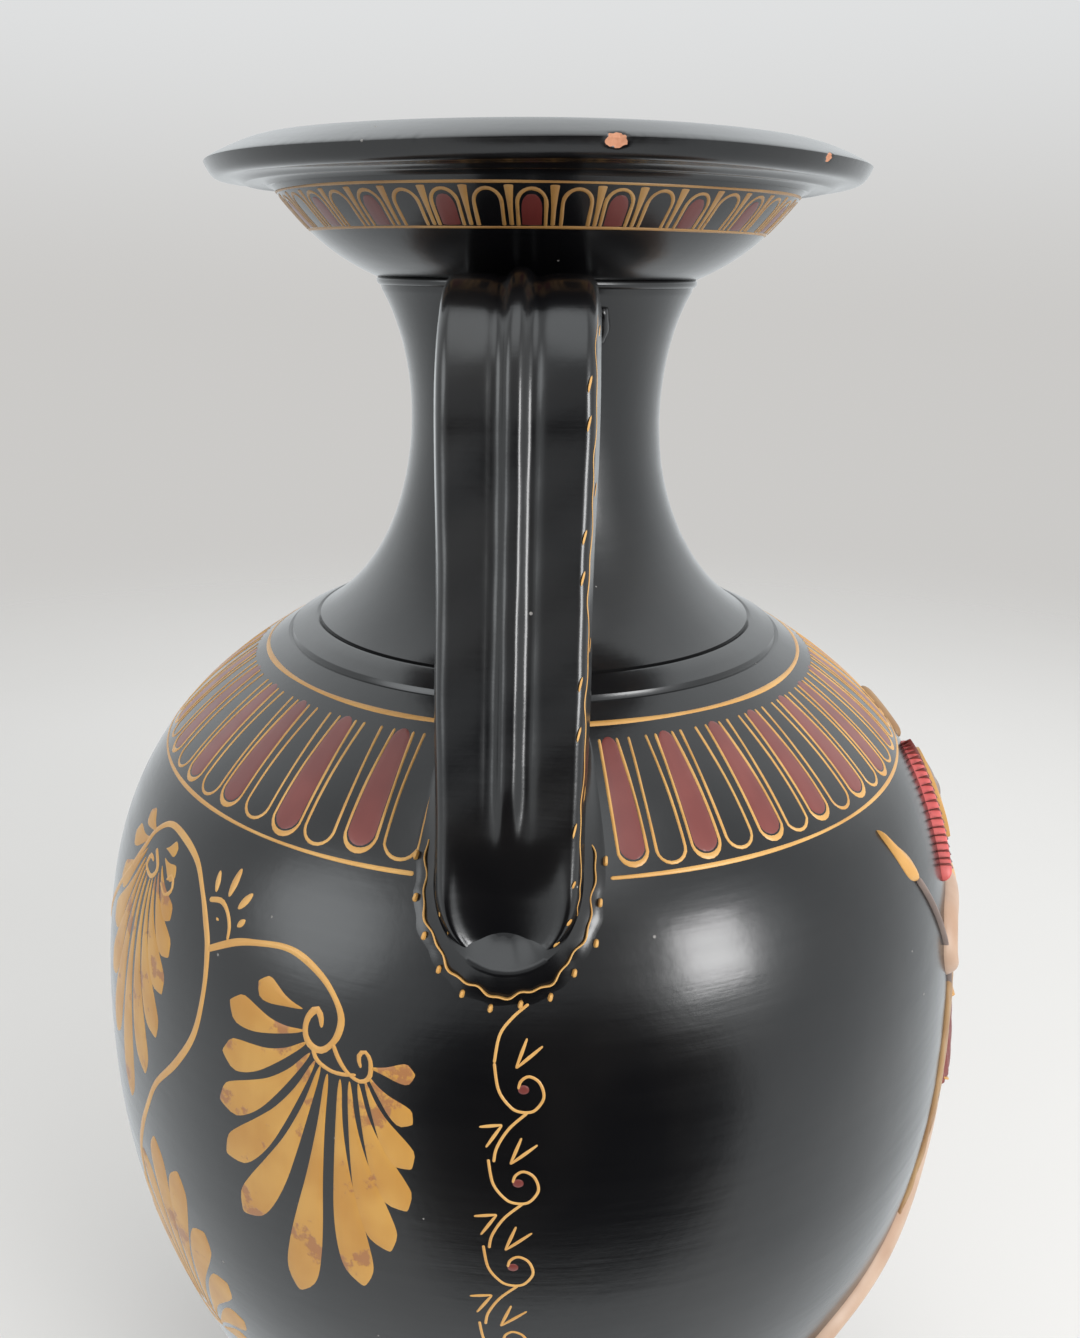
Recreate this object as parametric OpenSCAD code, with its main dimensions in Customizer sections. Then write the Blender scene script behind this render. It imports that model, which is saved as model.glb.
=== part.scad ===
// Neck-amphora with strap handles and an applied relief of two warriors on its front.
// Origin: centre of the foot's resting ring. +Z up, front (relief) faces -Y, handles at -X and +X.

/* [Body] */
// Largest outside radius of the belly
belly_r = 138.5; // [115:0.1:170]
// Height of the largest radius above the foot
belly_h = 187; // [155:1:225]
// Height of the shoulder seam above the foot
shoulder_h = 316.5; // [290:0.5:380]
// Outside radius where the neck's collar sits on the shoulder
shoulder_r = 77; // [68:1:90]
// Outside radius at the foot seam
base_r = 42; // [34:1:52]
// Wall of the thrown body sections
body_wall = 7; // [5:0.5:9]

/* [Foot] */
// Height of the foot
foot_h = 26; // [20:1:34]
// Outside radius of the foot
foot_r = 66; // [52:1:82]
// Inside radius of the resting ring
foot_ring_r = 51; // [44:1:56]
// Height of the hollow under the foot
foot_hollow_h = 15; // [8:1:17]

/* [Neck] */
// Height of the neck from the shoulder seam to the ridge
neck_h = 103; // [86:1:124]
// Narrowest outside radius of the neck
neck_r = 37.4; // [34:0.2:44]
// Outside radius under the ridge
neck_top_r = 45; // [42:0.5:52]
// How far the ridge stands proud
ridge_out = 1.4; // [0.8:0.1:2.5]
// Wall of the neck and mouth
neck_wall = 7; // [5:0.5:8]
// Depth of the turned grooves
groove_d = 0.8; // [0.4:0.1:1.2]

/* [Mouth and lip] */
// Height of the mouth cup above the ridge
mouth_h = 24; // [19:0.5:30]
// Outside radius of the cup under the lip
mouth_r = 74.5; // [66:0.5:84]
// Outside radius of the lip
lip_r = 92; // [80:1:110]
// Height of the lip's outer edge face
lip_edge = 5.6; // [3:0.2:8]
// Rise of the lip's top from its edge to its crest
lip_rise = 4.8; // [2:0.2:7]
// Radial width of the lip's sloping top
lip_top_w = 12.5; // [8:0.5:15]

/* [Handles] */
// Width of the strap
strap_w = 36; // [26:0.1:44]
// Thickness of the strap
strap_t = 10; // [7:0.5:12]
// Width of the raised rib
rib_w = 7; // [4:0.5:10]
// How far the rib stands proud of the grooves
rib_out = 1.6; // [0.8:0.1:3]
// Reach of the strap's bend from the axis, at its centre line
strap_reach = 94; // [84:1:104]
// Height of the strap's rounded end below the shoulder seam
root_drop = 49.5; // [40:0.5:60]
// Width of the clay worked round a handle's end
luting_w = 4.5; // [3:0.5:7]
// Thickness of that clay
luting_t = 2; // [1:0.2:3]

/* [Relief] */
// Height of the thickest relief pieces over the body
relief_t = 4; // [3:0.2:7]
// Height of the thin relief pieces
thin_t = 1.6; // [1.2:0.2:4]
// Direction of the attacking warrior, degrees from the front
attacker_a = -7; // [-20:1:0]
// Direction of the defending warrior, degrees from the front
defender_a = 34; // [28:1:42]
// Height of the attacker's hips above the foot
hips_h = 194; // [150:1:230]

/* [Hidden] */
$fn = 64;

GLAZE = [0.06, 0.06, 0.07];
OCHRE = [0.80, 0.59, 0.29];
CORAL = [0.80, 0.30, 0.30];
FLESH = [0.83, 0.60, 0.45];
BROWN = [0.42, 0.36, 0.33];
MAROON = [0.45, 0.17, 0.16];

belly_z = foot_h + belly_h;
seam_z = foot_h + shoulder_h;
ridge_z = seam_z + neck_h;
cup_z = ridge_z + mouth_h;
hips_z = foot_h + hips_h;
collar_w = 10;          // radial width of the neck's collar on the shoulder
collar_rise = 5.1;      // height of that collar
lap_h = 8;              // height of the lap between the two body sections
socket_h = 6.5;         // depth of the neck's spigot in the shoulder
socket_r = shoulder_r - 15;
cup_socket_r = neck_top_r - neck_wall / 2;

// Points of a cubic curve through p[0] and p[3], pulled towards p[1] and p[2].
function curve(p, n) = [for (i = [0:n]) let (t = i / n, s = 1 - t)
    s * s * s * p[0] + 3 * s * s * t * p[1] + 3 * s * t * t * p[2] + t * t * t * p[3]];

// A path moved sideways by w, to the left of its direction of travel.
function side_step(path, w) = [for (i = [0:len(path) - 1])
    let (a = path[max(i - 1, 0)], b = path[min(i + 1, len(path) - 1)],
        d = (b - a) / norm(b - a))
    path[i] + w * [-d[1], d[0]]];

function reversed(path) = [for (i = [len(path) - 1:-1:0]) path[i]];
function above(path, z) = [for (p = path) if (p[1] > z + 0.01) p];
function below(path, z) = [for (p = path) if (p[1] < z - 0.01) p];
function between(path, z0, z1) = [for (p = path) if (p[1] >= z0 && p[1] <= z1) p];

// Outside curves, each from its lower end to its upper end, as [radius, height].
LOWER = curve([[base_r, foot_h], [base_r + 53, foot_h + 34],
    [belly_r, foot_h + belly_h * 0.61], [belly_r, belly_z]], 16);
UPPER = curve([[belly_r, belly_z], [belly_r, belly_z + (seam_z - belly_z) * 0.595],
    [shoulder_r + 45, seam_z - 26.8], [shoulder_r, seam_z]], 14);
collar_top = [shoulder_r - collar_w, seam_z + collar_rise];
waist_z = seam_z + neck_h * 0.646;
NECK = concat(
    curve([collar_top, collar_top + [-17, 10],
        [neck_r, waist_z - 29], [neck_r, waist_z]], 12),
    [for (p = curve([[neck_r, waist_z], [neck_r, waist_z + 14],
        [neck_top_r - 4.5, ridge_z - 10.5], [neck_top_r, ridge_z - 2.5]], 7)) if (p[1] > waist_z) p]);
CUP = curve([[neck_top_r + 1.3, ridge_z + 1], [neck_top_r + 15, ridge_z + 7],
    [mouth_r - 8.5, cup_z - 10.5], [mouth_r, cup_z]], 10);
OUTSIDE = concat(LOWER, [for (p = UPPER) if (p[1] > belly_z) p],
    [collar_top], [for (p = NECK) if (p[1] > collar_top[1]) p]);
function outside_r(z) = lookup(z, [for (p = OUTSIDE) [p[1], p[0]]]);

// Inside curves: the outside ones moved in by the wall.
LOWER_IN = side_step(LOWER, body_wall);
UPPER_IN = side_step(UPPER, body_wall);
NECK_IN = side_step(NECK, neck_wall);
CUP_IN = side_step(CUP, neck_wall);
lap_r = belly_r - body_wall / 2;
floor_z = foot_h + body_wall + 2;

module turned(points) {
    rotate_extrude($fn = 128) polygon(points);
}

// ---- The vessel, from the foot up ----

module foot() {
    toe = 5;
    color(GLAZE) turned(concat(
        [[0, foot_hollow_h], [foot_ring_r - 12, foot_hollow_h - 2], [foot_ring_r, 0], [foot_r - 3, 0]],
        [for (a = [-60:30:60]) [foot_r - toe + toe * cos(a), toe + 1 + toe * sin(a)]],
        curve([[foot_r - toe, 12], [foot_r - 12, 15], [base_r + 5, foot_h - 7], [base_r, foot_h]], 6),
        [[0, foot_h]]));
}

module lower_body() {
    color(GLAZE) turned(concat([[0, foot_h]], LOWER,
        [[lap_r, belly_z], [lap_r, belly_z - lap_h]],
        [[belly_r - body_wall, belly_z - lap_h]],
        reversed(between(LOWER_IN, floor_z, belly_z - lap_h - 1)), [[0, floor_z]]));
}

module upper_body() {
    color(GLAZE) turned(concat([[belly_r - body_wall, belly_z - lap_h], [lap_r, belly_z - lap_h],
        [lap_r, belly_z]], UPPER,
        [[socket_r, seam_z], [socket_r, seam_z - 8.2]],
        reversed([for (p = between(UPPER_IN, belly_z, seam_z - 8.2)) if (p[0] > socket_r) p])));
}

module neck() {
    groove = groove_d;
    color(GLAZE) turned(concat(
        [[socket_r - neck_wall, seam_z - socket_h], [socket_r, seam_z - socket_h],
        [socket_r, seam_z], [shoulder_r - groove, seam_z], [shoulder_r - 1, seam_z + 1.2],
        collar_top + [1.2, -0.3], collar_top + [0.2, -groove]],
        NECK,
        [[neck_top_r, ridge_z - 1.8]],
        [for (a = [-60:30:60]) [neck_top_r + ridge_out * cos(a), ridge_z + 1.2 * sin(a)]],
        [[CUP[0][0], ridge_z + 1]],
        [[cup_socket_r, ridge_z + 1], [cup_socket_r, ridge_z - 3],
        [neck_top_r - neck_wall, ridge_z - 3]],
        reversed([for (p = NECK_IN) if (p[0] < socket_r - neck_wall - 1 && p[1] < ridge_z - 6) p])));
}

module mouth() {
    color(GLAZE) turned(concat(
        [[neck_top_r - neck_wall, ridge_z - 3], [cup_socket_r, ridge_z - 3],
        [cup_socket_r, ridge_z + 1]], CUP,
        [[mouth_r - neck_wall, cup_z]],
        reversed([for (p = between(CUP_IN, ridge_z + 5, cup_z - 1)) p])));
}

module lip() {
    edge_r = 0.8;
    crest = [lip_r - lip_top_w, cup_z + 1 + lip_edge + lip_rise];
    color(GLAZE) turned(concat(
        [[mouth_r - neck_wall, cup_z], [mouth_r + 1, cup_z], [mouth_r + 2, cup_z + 0.8],
        [lip_r - 11, cup_z + 0.6], [lip_r - 10.4, cup_z + 1.2]],
        [for (a = [-90:30:0]) [lip_r - edge_r, cup_z + 1 + edge_r] + edge_r * [cos(a), sin(a)]],
        [[lip_r, cup_z + 1 + lip_edge], crest],
        curve([crest - [2, 0.2], crest - [6, 1.4],
            [mouth_r - neck_wall + 2, cup_z + 4], [mouth_r - neck_wall, cup_z]], 6)));
}

// ---- Handles, built towards +X and turned to their side ----

strap_root_r = outside_r(seam_z - root_drop) - strap_t / 2 + 1;
BEND = curve([[neck_r, ridge_z - 9.5], [strap_reach - 32, ridge_z - 2.5],
    [strap_reach - 3, ridge_z + 9], [strap_reach, ridge_z - 31.5]], 12);
DROP = curve([[strap_reach, ridge_z - 31.5], [strap_reach + 3, ridge_z - 60],
    [strap_root_r - 12, seam_z + 4], [strap_root_r, seam_z - root_drop - 4]], 10);
STRAP = concat(BEND, [for (p = DROP) if (p[1] < ridge_z - 32) p]);

// The strap's side view, its outer face moved out by grow.
module strap_side(grow) {
    polygon(concat(side_step(STRAP, strap_t / 2 + grow), reversed(side_step(STRAP, -strap_t / 2))));
}

// A slab along X whose side view is the child, w wide.
module slab(w) {
    rotate([90, 0, 0]) translate([0, 0, -w / 2]) linear_extrude(height = w) children();
}

// A bar along +X whose end view (Y, Z) is the child.
module bar() {
    rotate([90, 0, 90]) linear_extrude(height = belly_r + 40) children();
}

// The strap's end view: straight sides and a rounded lower end, grown by g.
module strap_end(g) {
    end_z = seam_z - root_drop + strap_w / 2;
    translate([0, end_z]) circle(r = strap_w / 2 + g);
    translate([-strap_w / 2 - g, end_z]) square([strap_w + 2 * g, ridge_z - end_z + 20]);
}

module strap() {
    groove = 1;
    difference() {
        intersection() {
            union() {
                slab(strap_w) strap_side(0);
                slab(rib_w) strap_side(rib_out - groove);
            }
            bar() strap_end(0);
        }
        for (s = [-1, 1]) translate([0, s * (rib_w / 2 + groove), 0])
            slab(2 * groove) difference() {
                strap_side(2);
                strap_side(-groove);
            }
        vessel_core();
    }
}

// Everything inside the vessel's outside curve, over the heights the handles span.
module vessel_core() {
    z0 = seam_z - root_drop - 30;
    z1 = ridge_z - 2.6;
    turned(concat([[0, z0], [outside_r(z0), z0]], between(OUTSIDE, z0 + 0.1, z1 - 0.1),
        [[outside_r(z1), z1], [0, z1]]));
}

// A skin t thick on the vessel's outside, from height z0 to z1.
module skin(z0, z1, t) {
    face = concat([[outside_r(z0), z0]], between(OUTSIDE, z0 + 0.1, z1 - 0.1), [[outside_r(z1), z1]]);
    turned(concat([for (p = face) p + [t, 0]], reversed(face)));
}

module side(a) {
    rotate([0, 0, a]) children();
}

module handle_left() { color(GLAZE) side(180) strap(); }
module handle_right() { color(GLAZE) side(0) strap(); }

module top_luting() {
    difference() {
        intersection() {
            bar() translate([-strap_w / 2 - luting_w, ridge_z - 26])
                square([strap_w + 2 * luting_w, 17]);
            skin(ridge_z - 27, ridge_z - 6, luting_t);
        }
        strap();
    }
}

module root_luting() {
    z0 = seam_z - root_drop - luting_w - 1;
    difference() {
        intersection() {
            bar() strap_end(luting_w);
            skin(z0, seam_z - 20, luting_t);
        }
        strap();
    }
}

module handle_left_top_luting() { color(GLAZE) side(180) top_luting(); }
module handle_right_top_luting() { color(GLAZE) side(0) top_luting(); }
module handle_left_root_luting() { color(GLAZE) side(180) root_luting(); }
module handle_right_root_luting() { color(GLAZE) side(0) root_luting(); }

// ---- Relief: flat outlines drawn about the hips, [across, up], and laid on the belly ----

// A smooth path through points that are [across, up, width], n steps to a span.
function spline(p, n) = [for (i = [0:len(p) - 2]) for (j = [0:i == len(p) - 2 ? n : n - 1])
    let (t = j / n, a = p[max(i - 1, 0)], b = p[i], c = p[i + 1], d = p[min(i + 2, len(p) - 1)])
    (2 * b + (c - a) * t + (2 * a - 5 * b + 4 * c - d) * t * t
        + (3 * b - a - 3 * c + d) * t * t * t) / 2];

// Half circles that close a limb's outline at point q, whose width is q[2], facing angle a.
function cap(q, a) = [for (t = [-60:30:60]) [q[0], q[1]] + q[2] / 2 * [cos(a + t), sin(a + t)]];
function heading(a, b) = atan2(b[1] - a[1], b[0] - a[0]);

// The outline of a limb, strip or crest that follows a path of [across, up, width].
function limb(points) = let (p = spline(points, 4), last = len(p) - 1,
    way = [for (i = [0:last]) heading(p[max(i - 1, 0)], p[min(i + 1, last)])],
    edge = function (s) [for (i = [0:last])
        [p[i][0], p[i][1]] + s * p[i][2] / 2 * [-sin(way[i]), cos(way[i])]])
    concat(edge(-1), cap(p[last], way[last]), reversed(edge(1)), cap(p[0], way[0] + 180));

// Part of a circle as points, from angle a0 to a1.
function arc(centre, r, a0, a1, n) = [for (i = [0:n]) let (a = a0 + (a1 - a0) * i / n)
    centre + r * [cos(a), sin(a)]];

function attacker_outline(name) =
    name == "helmet" ? concat(arc([10, 69.5], 13.5, -15, 215, 16),
        [[1, 55], [9, 57], [14, 50], [21, 53]])
    : name == "crest" ? limb([[5, 87.5, 6], [-2, 83, 8], [-10, 75.5, 8], [-18.5, 66, 7], [-27, 56, 4]])
    : name == "knob" ? limb([[12, 86.5, 4.5], [16, 90, 6], [19.5, 94.5, 7], [22, 99.5, 5]])
    : name == "arm" ? limb([[-4, 43, 12], [-18, 47, 11], [-31, 46, 9], [-36, 38, 8], [-29, 30, 9]])
    : name == "shield" ? arc([39, 31], 27, 0, 350, 35)
    : name == "torso" ? [[-8, 6], [20, 6], [26, 30], [26, 51], [6, 53], [-10, 50], [-11, 30]]
    : name == "kilt" ? [[-30, -14], [-4, -27], [24, -26], [36, -18], [20, 6], [-8, 6]]
    : name == "hair" ? limb([[2, 60, 10], [-7, 55, 9], [-16, 49, 6]])
    : name == "front_leg" ? limb([[18, -22, 18], [34, -42, 13], [31, -62, 10], [32, -76, 7], [46, -79, 4]])
    : name == "rear_leg" ? limb([[-10, -20, 17], [-30, -44, 12.5], [-56, -58, 9.5], [-77, -66, 7],
        [-86, -77, 4]])
    : name == "spear" ? [[-58.4, 86], [-55.5, 73], [-52.6, 68], [-21, 3.5], [-19.4, 4.3],
        [-50.6, 68.8], [-49.5, 74]]
    : [[-10, 42], [-29, 34], [-34, 8], [-41, -20], [-52, -62], [-42, -50], [-8, 6]];

function defender_outline(name) =
    name == "helmet" ? concat(arc([-2, 74], 12.5, -35, 195, 16), [[-13, 57], [-7, 54], [-2, 61], [8, 59]])
    : name == "crest" ? limb([[-16, 91, 4], [-7, 96, 9], [4, 95, 10], [14, 86, 9], [19, 72, 7], [19, 58, 4]])
    : name == "shield" ? arc([-2, 28], 27, 0, 350, 35)
    : name == "kilt" ? [[-22, -18], [23, -18], [16, 10], [-18, 10]]
    : name == "left_leg" ? limb([[-10, -14, 15], [-14, -44, 11], [-9, -64, 9], [-11, -77, 7], [-24, -80, 4]])
    : name == "right_leg" ? limb([[12, -14, 15], [17, -44, 11], [19, -64, 9], [18, -77, 7], [7, -80, 4]])
    : [[26, 104], [23.5, 90], [25.8, 83], [31.8, -77], [34.2, -77], [28.2, 83], [30, 90]];

// Each outline is cut back by those before it in its list, so neighbours meet edge to edge.
ATTACKER = ["helmet", "crest", "knob", "arm", "shield", "torso", "kilt", "hair",
    "front_leg", "rear_leg", "spear", "cloak"];
DEFENDER = ["helmet", "crest", "shield", "kilt", "left_leg", "right_leg", "spear"];
function place_of(name, list) = [for (i = [0:len(list) - 1]) if (list[i] == name) i][0];

// The child outline, pressed out to the front and laid t thick on the vessel.
module relief(a, low, high, t) {
    rotate([0, 0, a]) intersection() {
        rotate([90, 0, 0]) linear_extrude(height = belly_r + 20) translate([0, hips_z]) children();
        skin(hips_z + low, hips_z + high, t);
    }
}

module attacker_relief(name, low, high, t) {
    relief(attacker_a, low, high, t) difference() {
        polygon(attacker_outline(name));
        for (i = [0:1:place_of(name, ATTACKER) - 1]) polygon(attacker_outline(ATTACKER[i]));
    }
}

module defender_relief(name, low, high, t) {
    relief(defender_a, low, high, t) difference() {
        polygon(defender_outline(name));
        for (i = [0:1:place_of(name, DEFENDER) - 1]) polygon(defender_outline(DEFENDER[i]));
    }
}

module attacker_knob() { color(OCHRE) attacker_relief("knob", 82, 105, thin_t); }
module attacker_crest() { color(CORAL) attacker_relief("crest", 50, 94, relief_t); }
module attacker_helmet() { color(BROWN) attacker_relief("helmet", 46, 86, relief_t); }
module attacker_hair() { color(BROWN) attacker_relief("hair", 42, 68, thin_t); }
module attacker_torso() { color(OCHRE) attacker_relief("torso", 4, 60, relief_t); }
module attacker_arm() { color(FLESH) attacker_relief("arm", 22, 60, relief_t); }
module attacker_kilt() { color(MAROON) attacker_relief("kilt", -30, 8, relief_t); }
module attacker_shield() { color(OCHRE) attacker_relief("shield", 2, 60, relief_t + 1); }
module attacker_spear() { color(OCHRE) attacker_relief("spear", -2, 90, thin_t); }
module attacker_cloak() { color(CORAL) attacker_relief("cloak", -66, 46, thin_t); }
module attacker_front_leg() { color(FLESH) attacker_relief("front_leg", -86, -12, relief_t); }
module attacker_rear_leg() { color(FLESH) attacker_relief("rear_leg", -82, -8, relief_t); }

module defender_crest() { color(OCHRE) defender_relief("crest", 54, 104, relief_t); }
module defender_helmet() { color(BROWN) defender_relief("helmet", 50, 90, relief_t); }
module defender_shield() { color(MAROON) defender_relief("shield", -2, 58, relief_t + 1); }
module defender_kilt() { color(CORAL) defender_relief("kilt", -20, 12, relief_t); }
module defender_spear() { color(OCHRE) defender_relief("spear", -80, 106, thin_t); }
module defender_left_leg() { color(FLESH) defender_relief("left_leg", -86, -4, relief_t); }
module defender_right_leg() { color(FLESH) defender_relief("right_leg", -86, -4, relief_t); }

foot();
lower_body();
upper_body();
neck();
mouth();
lip();
handle_left();
handle_right();
handle_left_top_luting();
handle_right_top_luting();
handle_left_root_luting();
handle_right_root_luting();
attacker_knob();
attacker_crest();
attacker_helmet();
attacker_hair();
attacker_torso();
attacker_arm();
attacker_kilt();
attacker_shield();
attacker_spear();
attacker_cloak();
attacker_front_leg();
attacker_rear_leg();
defender_crest();
defender_helmet();
defender_shield();
defender_kilt();
defender_spear();
defender_left_leg();
defender_right_leg();
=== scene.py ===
"""A black-glazed neck-amphora: thrown skins, strap handles, painted ornament and a coloured relief.

Angles go round the pot in degrees, 0 at the left handle (-X) and growing towards the front (-Y).
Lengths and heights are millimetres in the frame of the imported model; meshes are made in metres.
"""

import logging
from dataclasses import dataclass, field
from enum import Enum
from typing import Callable, Optional

import bmesh
import bpy
import numpy as np
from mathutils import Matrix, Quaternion, Vector


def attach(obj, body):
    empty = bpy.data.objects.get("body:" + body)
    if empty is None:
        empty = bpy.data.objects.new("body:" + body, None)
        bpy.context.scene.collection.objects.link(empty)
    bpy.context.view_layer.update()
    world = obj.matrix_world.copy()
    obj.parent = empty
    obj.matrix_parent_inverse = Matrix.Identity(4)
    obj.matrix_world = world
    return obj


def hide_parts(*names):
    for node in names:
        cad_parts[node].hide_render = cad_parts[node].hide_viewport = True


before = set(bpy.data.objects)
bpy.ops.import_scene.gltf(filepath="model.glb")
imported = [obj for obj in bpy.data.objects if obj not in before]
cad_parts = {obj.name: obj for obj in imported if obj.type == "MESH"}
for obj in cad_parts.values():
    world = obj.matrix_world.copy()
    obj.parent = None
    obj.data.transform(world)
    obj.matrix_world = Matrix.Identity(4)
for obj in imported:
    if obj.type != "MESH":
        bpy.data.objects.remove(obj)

MM = 0.001
BODY = "root"
log = logging.getLogger("amphora")


# ---- Curves and meshes -------------------------------------------------------------------------


def bezier(points: list, count: int = 40) -> np.ndarray:
    """A cubic curve: the four points weighted by (1-t)^3, 3(1-t)^2 t, 3(1-t) t^2 and t^3.

    Args:
        points: Four control points of any dimension.
        count: How many points to work out.

    Returns:
        The curve's points, one a row.
    """
    t = np.linspace(0, 1, count)[:, None]
    p = np.asarray(points, float)
    return ((1 - t) ** 3 * p[0] + 3 * (1 - t) ** 2 * t * p[1] + 3 * (1 - t) * t**2 * p[2]
            + t**3 * p[3])


def spline(points: list, steps: int = 8) -> np.ndarray:
    """A smooth path through points, each span a cubic whose slope is half the step over its ends.

    Args:
        points: Rows of any number of columns.
        steps: How many points to a span.

    Returns:
        The path's points, one a row.
    """
    p = np.asarray(points, float)
    if len(p) < 3:
        return p[0] + (p[-1] - p[0]) * np.linspace(0, 1, steps + 1)[:, None]
    span = np.repeat(np.arange(len(p) - 1), steps)
    t = np.tile(np.arange(steps) / steps, len(p) - 1)[:, None]
    a, b, c, d = (p[np.clip(span + k, 0, len(p) - 1)] for k in (-1, 0, 1, 2))
    path = (2 * b + (c - a) * t + (2 * a - 5 * b + 4 * c - d) * t**2
            + (3 * b - a - 3 * c + d) * t**3) / 2
    return np.vstack([path, p[-1:]])


def along(path: np.ndarray) -> np.ndarray:
    """Distance along a path to each of its points, as the running sum of the steps between them."""
    return np.concatenate([[0.0], np.cumsum(np.linalg.norm(np.diff(path, axis=0), axis=1))])


def unit(vectors: np.ndarray) -> np.ndarray:
    """The vectors over their own lengths."""
    return vectors / np.maximum(np.linalg.norm(vectors, axis=-1, keepdims=True), 1e-12)


def smooth(x: np.ndarray) -> np.ndarray:
    """An even rise from 0 to 1 over 0 to 1: 3x^2 - 2x^3, level outside."""
    x = np.clip(x, 0, 1)
    return x * x * (3 - 2 * x)


def hump(x: np.ndarray, centre: float, width: float) -> np.ndarray:
    """A bell of height 1 about a centre: e to the minus ((x - centre) / width) squared."""
    return np.exp(-(((x - centre) / width) ** 2))


def grid_faces(rows: int, columns: int, start: int = 0, around: bool = True) -> np.ndarray:
    """Quads of a grid of points, row by row.

    Args:
        rows: Rows of points.
        columns: Points in a row.
        start: Index of the first point.
        around: Whether the last column joins the first.

    Returns:
        Four point indices a face.
    """
    r = np.arange(rows - 1)[:, None]
    c = np.arange(columns if around else columns - 1)[None, :]
    n = (c + 1) % columns
    quads = np.stack([r * columns + c, r * columns + n, (r + 1) * columns + n,
                      (r + 1) * columns + c], -1)
    return start + quads.reshape(-1, 4)


class Clay:
    """Gathers the points and faces of one piece and makes its object."""

    def __init__(self, name: str) -> None:
        """Starts an empty piece.

        Args:
            name: Name of the object to be.
        """
        self.name = name
        self.points: list[np.ndarray] = []
        self.faces: list[np.ndarray] = []
        self.marks: list[np.ndarray] = []
        self.count = 0

    def grid(self, points: np.ndarray, around: bool = True,
             mark: Optional[np.ndarray] = None) -> None:
        """Adds a grid of points, rows by columns by three, as quads.

        Args:
            points: The grid in millimetres.
            around: Whether the last column joins the first.
            mark: A value from 0 to 1 for each point, kept as the attribute "mark".
        """
        rows, columns = points.shape[:2]
        self.faces.append(grid_faces(rows, columns, self.count, around))
        self.points.append(points.reshape(-1, 3))
        blank = np.zeros(rows * columns)
        self.marks.append(blank if mark is None else np.asarray(mark).reshape(-1))
        self.count += rows * columns

    def piece(self, material: bpy.types.Material, slot: str, replaces: tuple = (),
              sharp: float = 38.0) -> bpy.types.Object:
        """Makes the object: doubles merged, faces turned outwards, smooth but for sharp edges.

        Args:
            material: Its finish.
            slot: Name of a material slot in the record; not used.
            replaces: CAD nodes it stands for.
            sharp: Edges that bend by more than this, in degrees, stay sharp.

        Returns:
            The object, riding on the pot's body.
        """
        mesh = bpy.data.meshes.new(self.name)
        mesh.from_pydata((np.vstack(self.points) * MM).tolist(), [], np.vstack(self.faces).tolist())
        mark = mesh.attributes.new("mark", "FLOAT", "POINT")
        mark.data.foreach_set("value", np.concatenate(self.marks).astype(np.float32))
        made = bmesh.new()
        made.from_mesh(mesh)
        bmesh.ops.remove_doubles(made, verts=made.verts, dist=2e-7)
        bmesh.ops.recalc_face_normals(made, faces=made.faces)
        made.to_mesh(mesh)
        made.free()
        mesh.shade_smooth()
        mesh.set_sharp_from_angle(angle=np.radians(sharp))
        mesh.materials.append(material)
        piece = bpy.data.objects.new(self.name, mesh)
        bpy.context.scene.collection.objects.link(piece)
        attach(piece, BODY)
        if replaces:
            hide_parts(*replaces)
        log.info("%s: %d faces", self.name, len(mesh.polygons))
        return piece


def revolved(profile: np.ndarray, segments: int, swell: Callable) -> np.ndarray:
    """A profile turned about the axis: x = -r cos a, y = -r sin a, with r swelled by a wobble.

    Args:
        profile: Points as [radius, height].
        segments: Steps round the axis.
        swell: Gives the wobble in mm for arrays of angle and height.

    Returns:
        A grid of points, one row to a profile point.
    """
    angle = np.arange(segments) * 360.0 / segments
    r = profile[:, :1] + swell(angle[None, :], profile[:, 1:2]) * (profile[:, :1] > 1)
    a = np.radians(angle)[None, :]
    return np.stack([-r * np.cos(a), -r * np.sin(a), profile[:, 1:2] + 0 * a], -1)


# ---- Finishes ----------------------------------------------------------------------------------


class Socket(Enum):
    """Kinds of socket a node group may have."""

    VALUE = "NodeSocketFloat"
    COLOUR = "NodeSocketColor"
    VECTOR = "NodeSocketVector"


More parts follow.
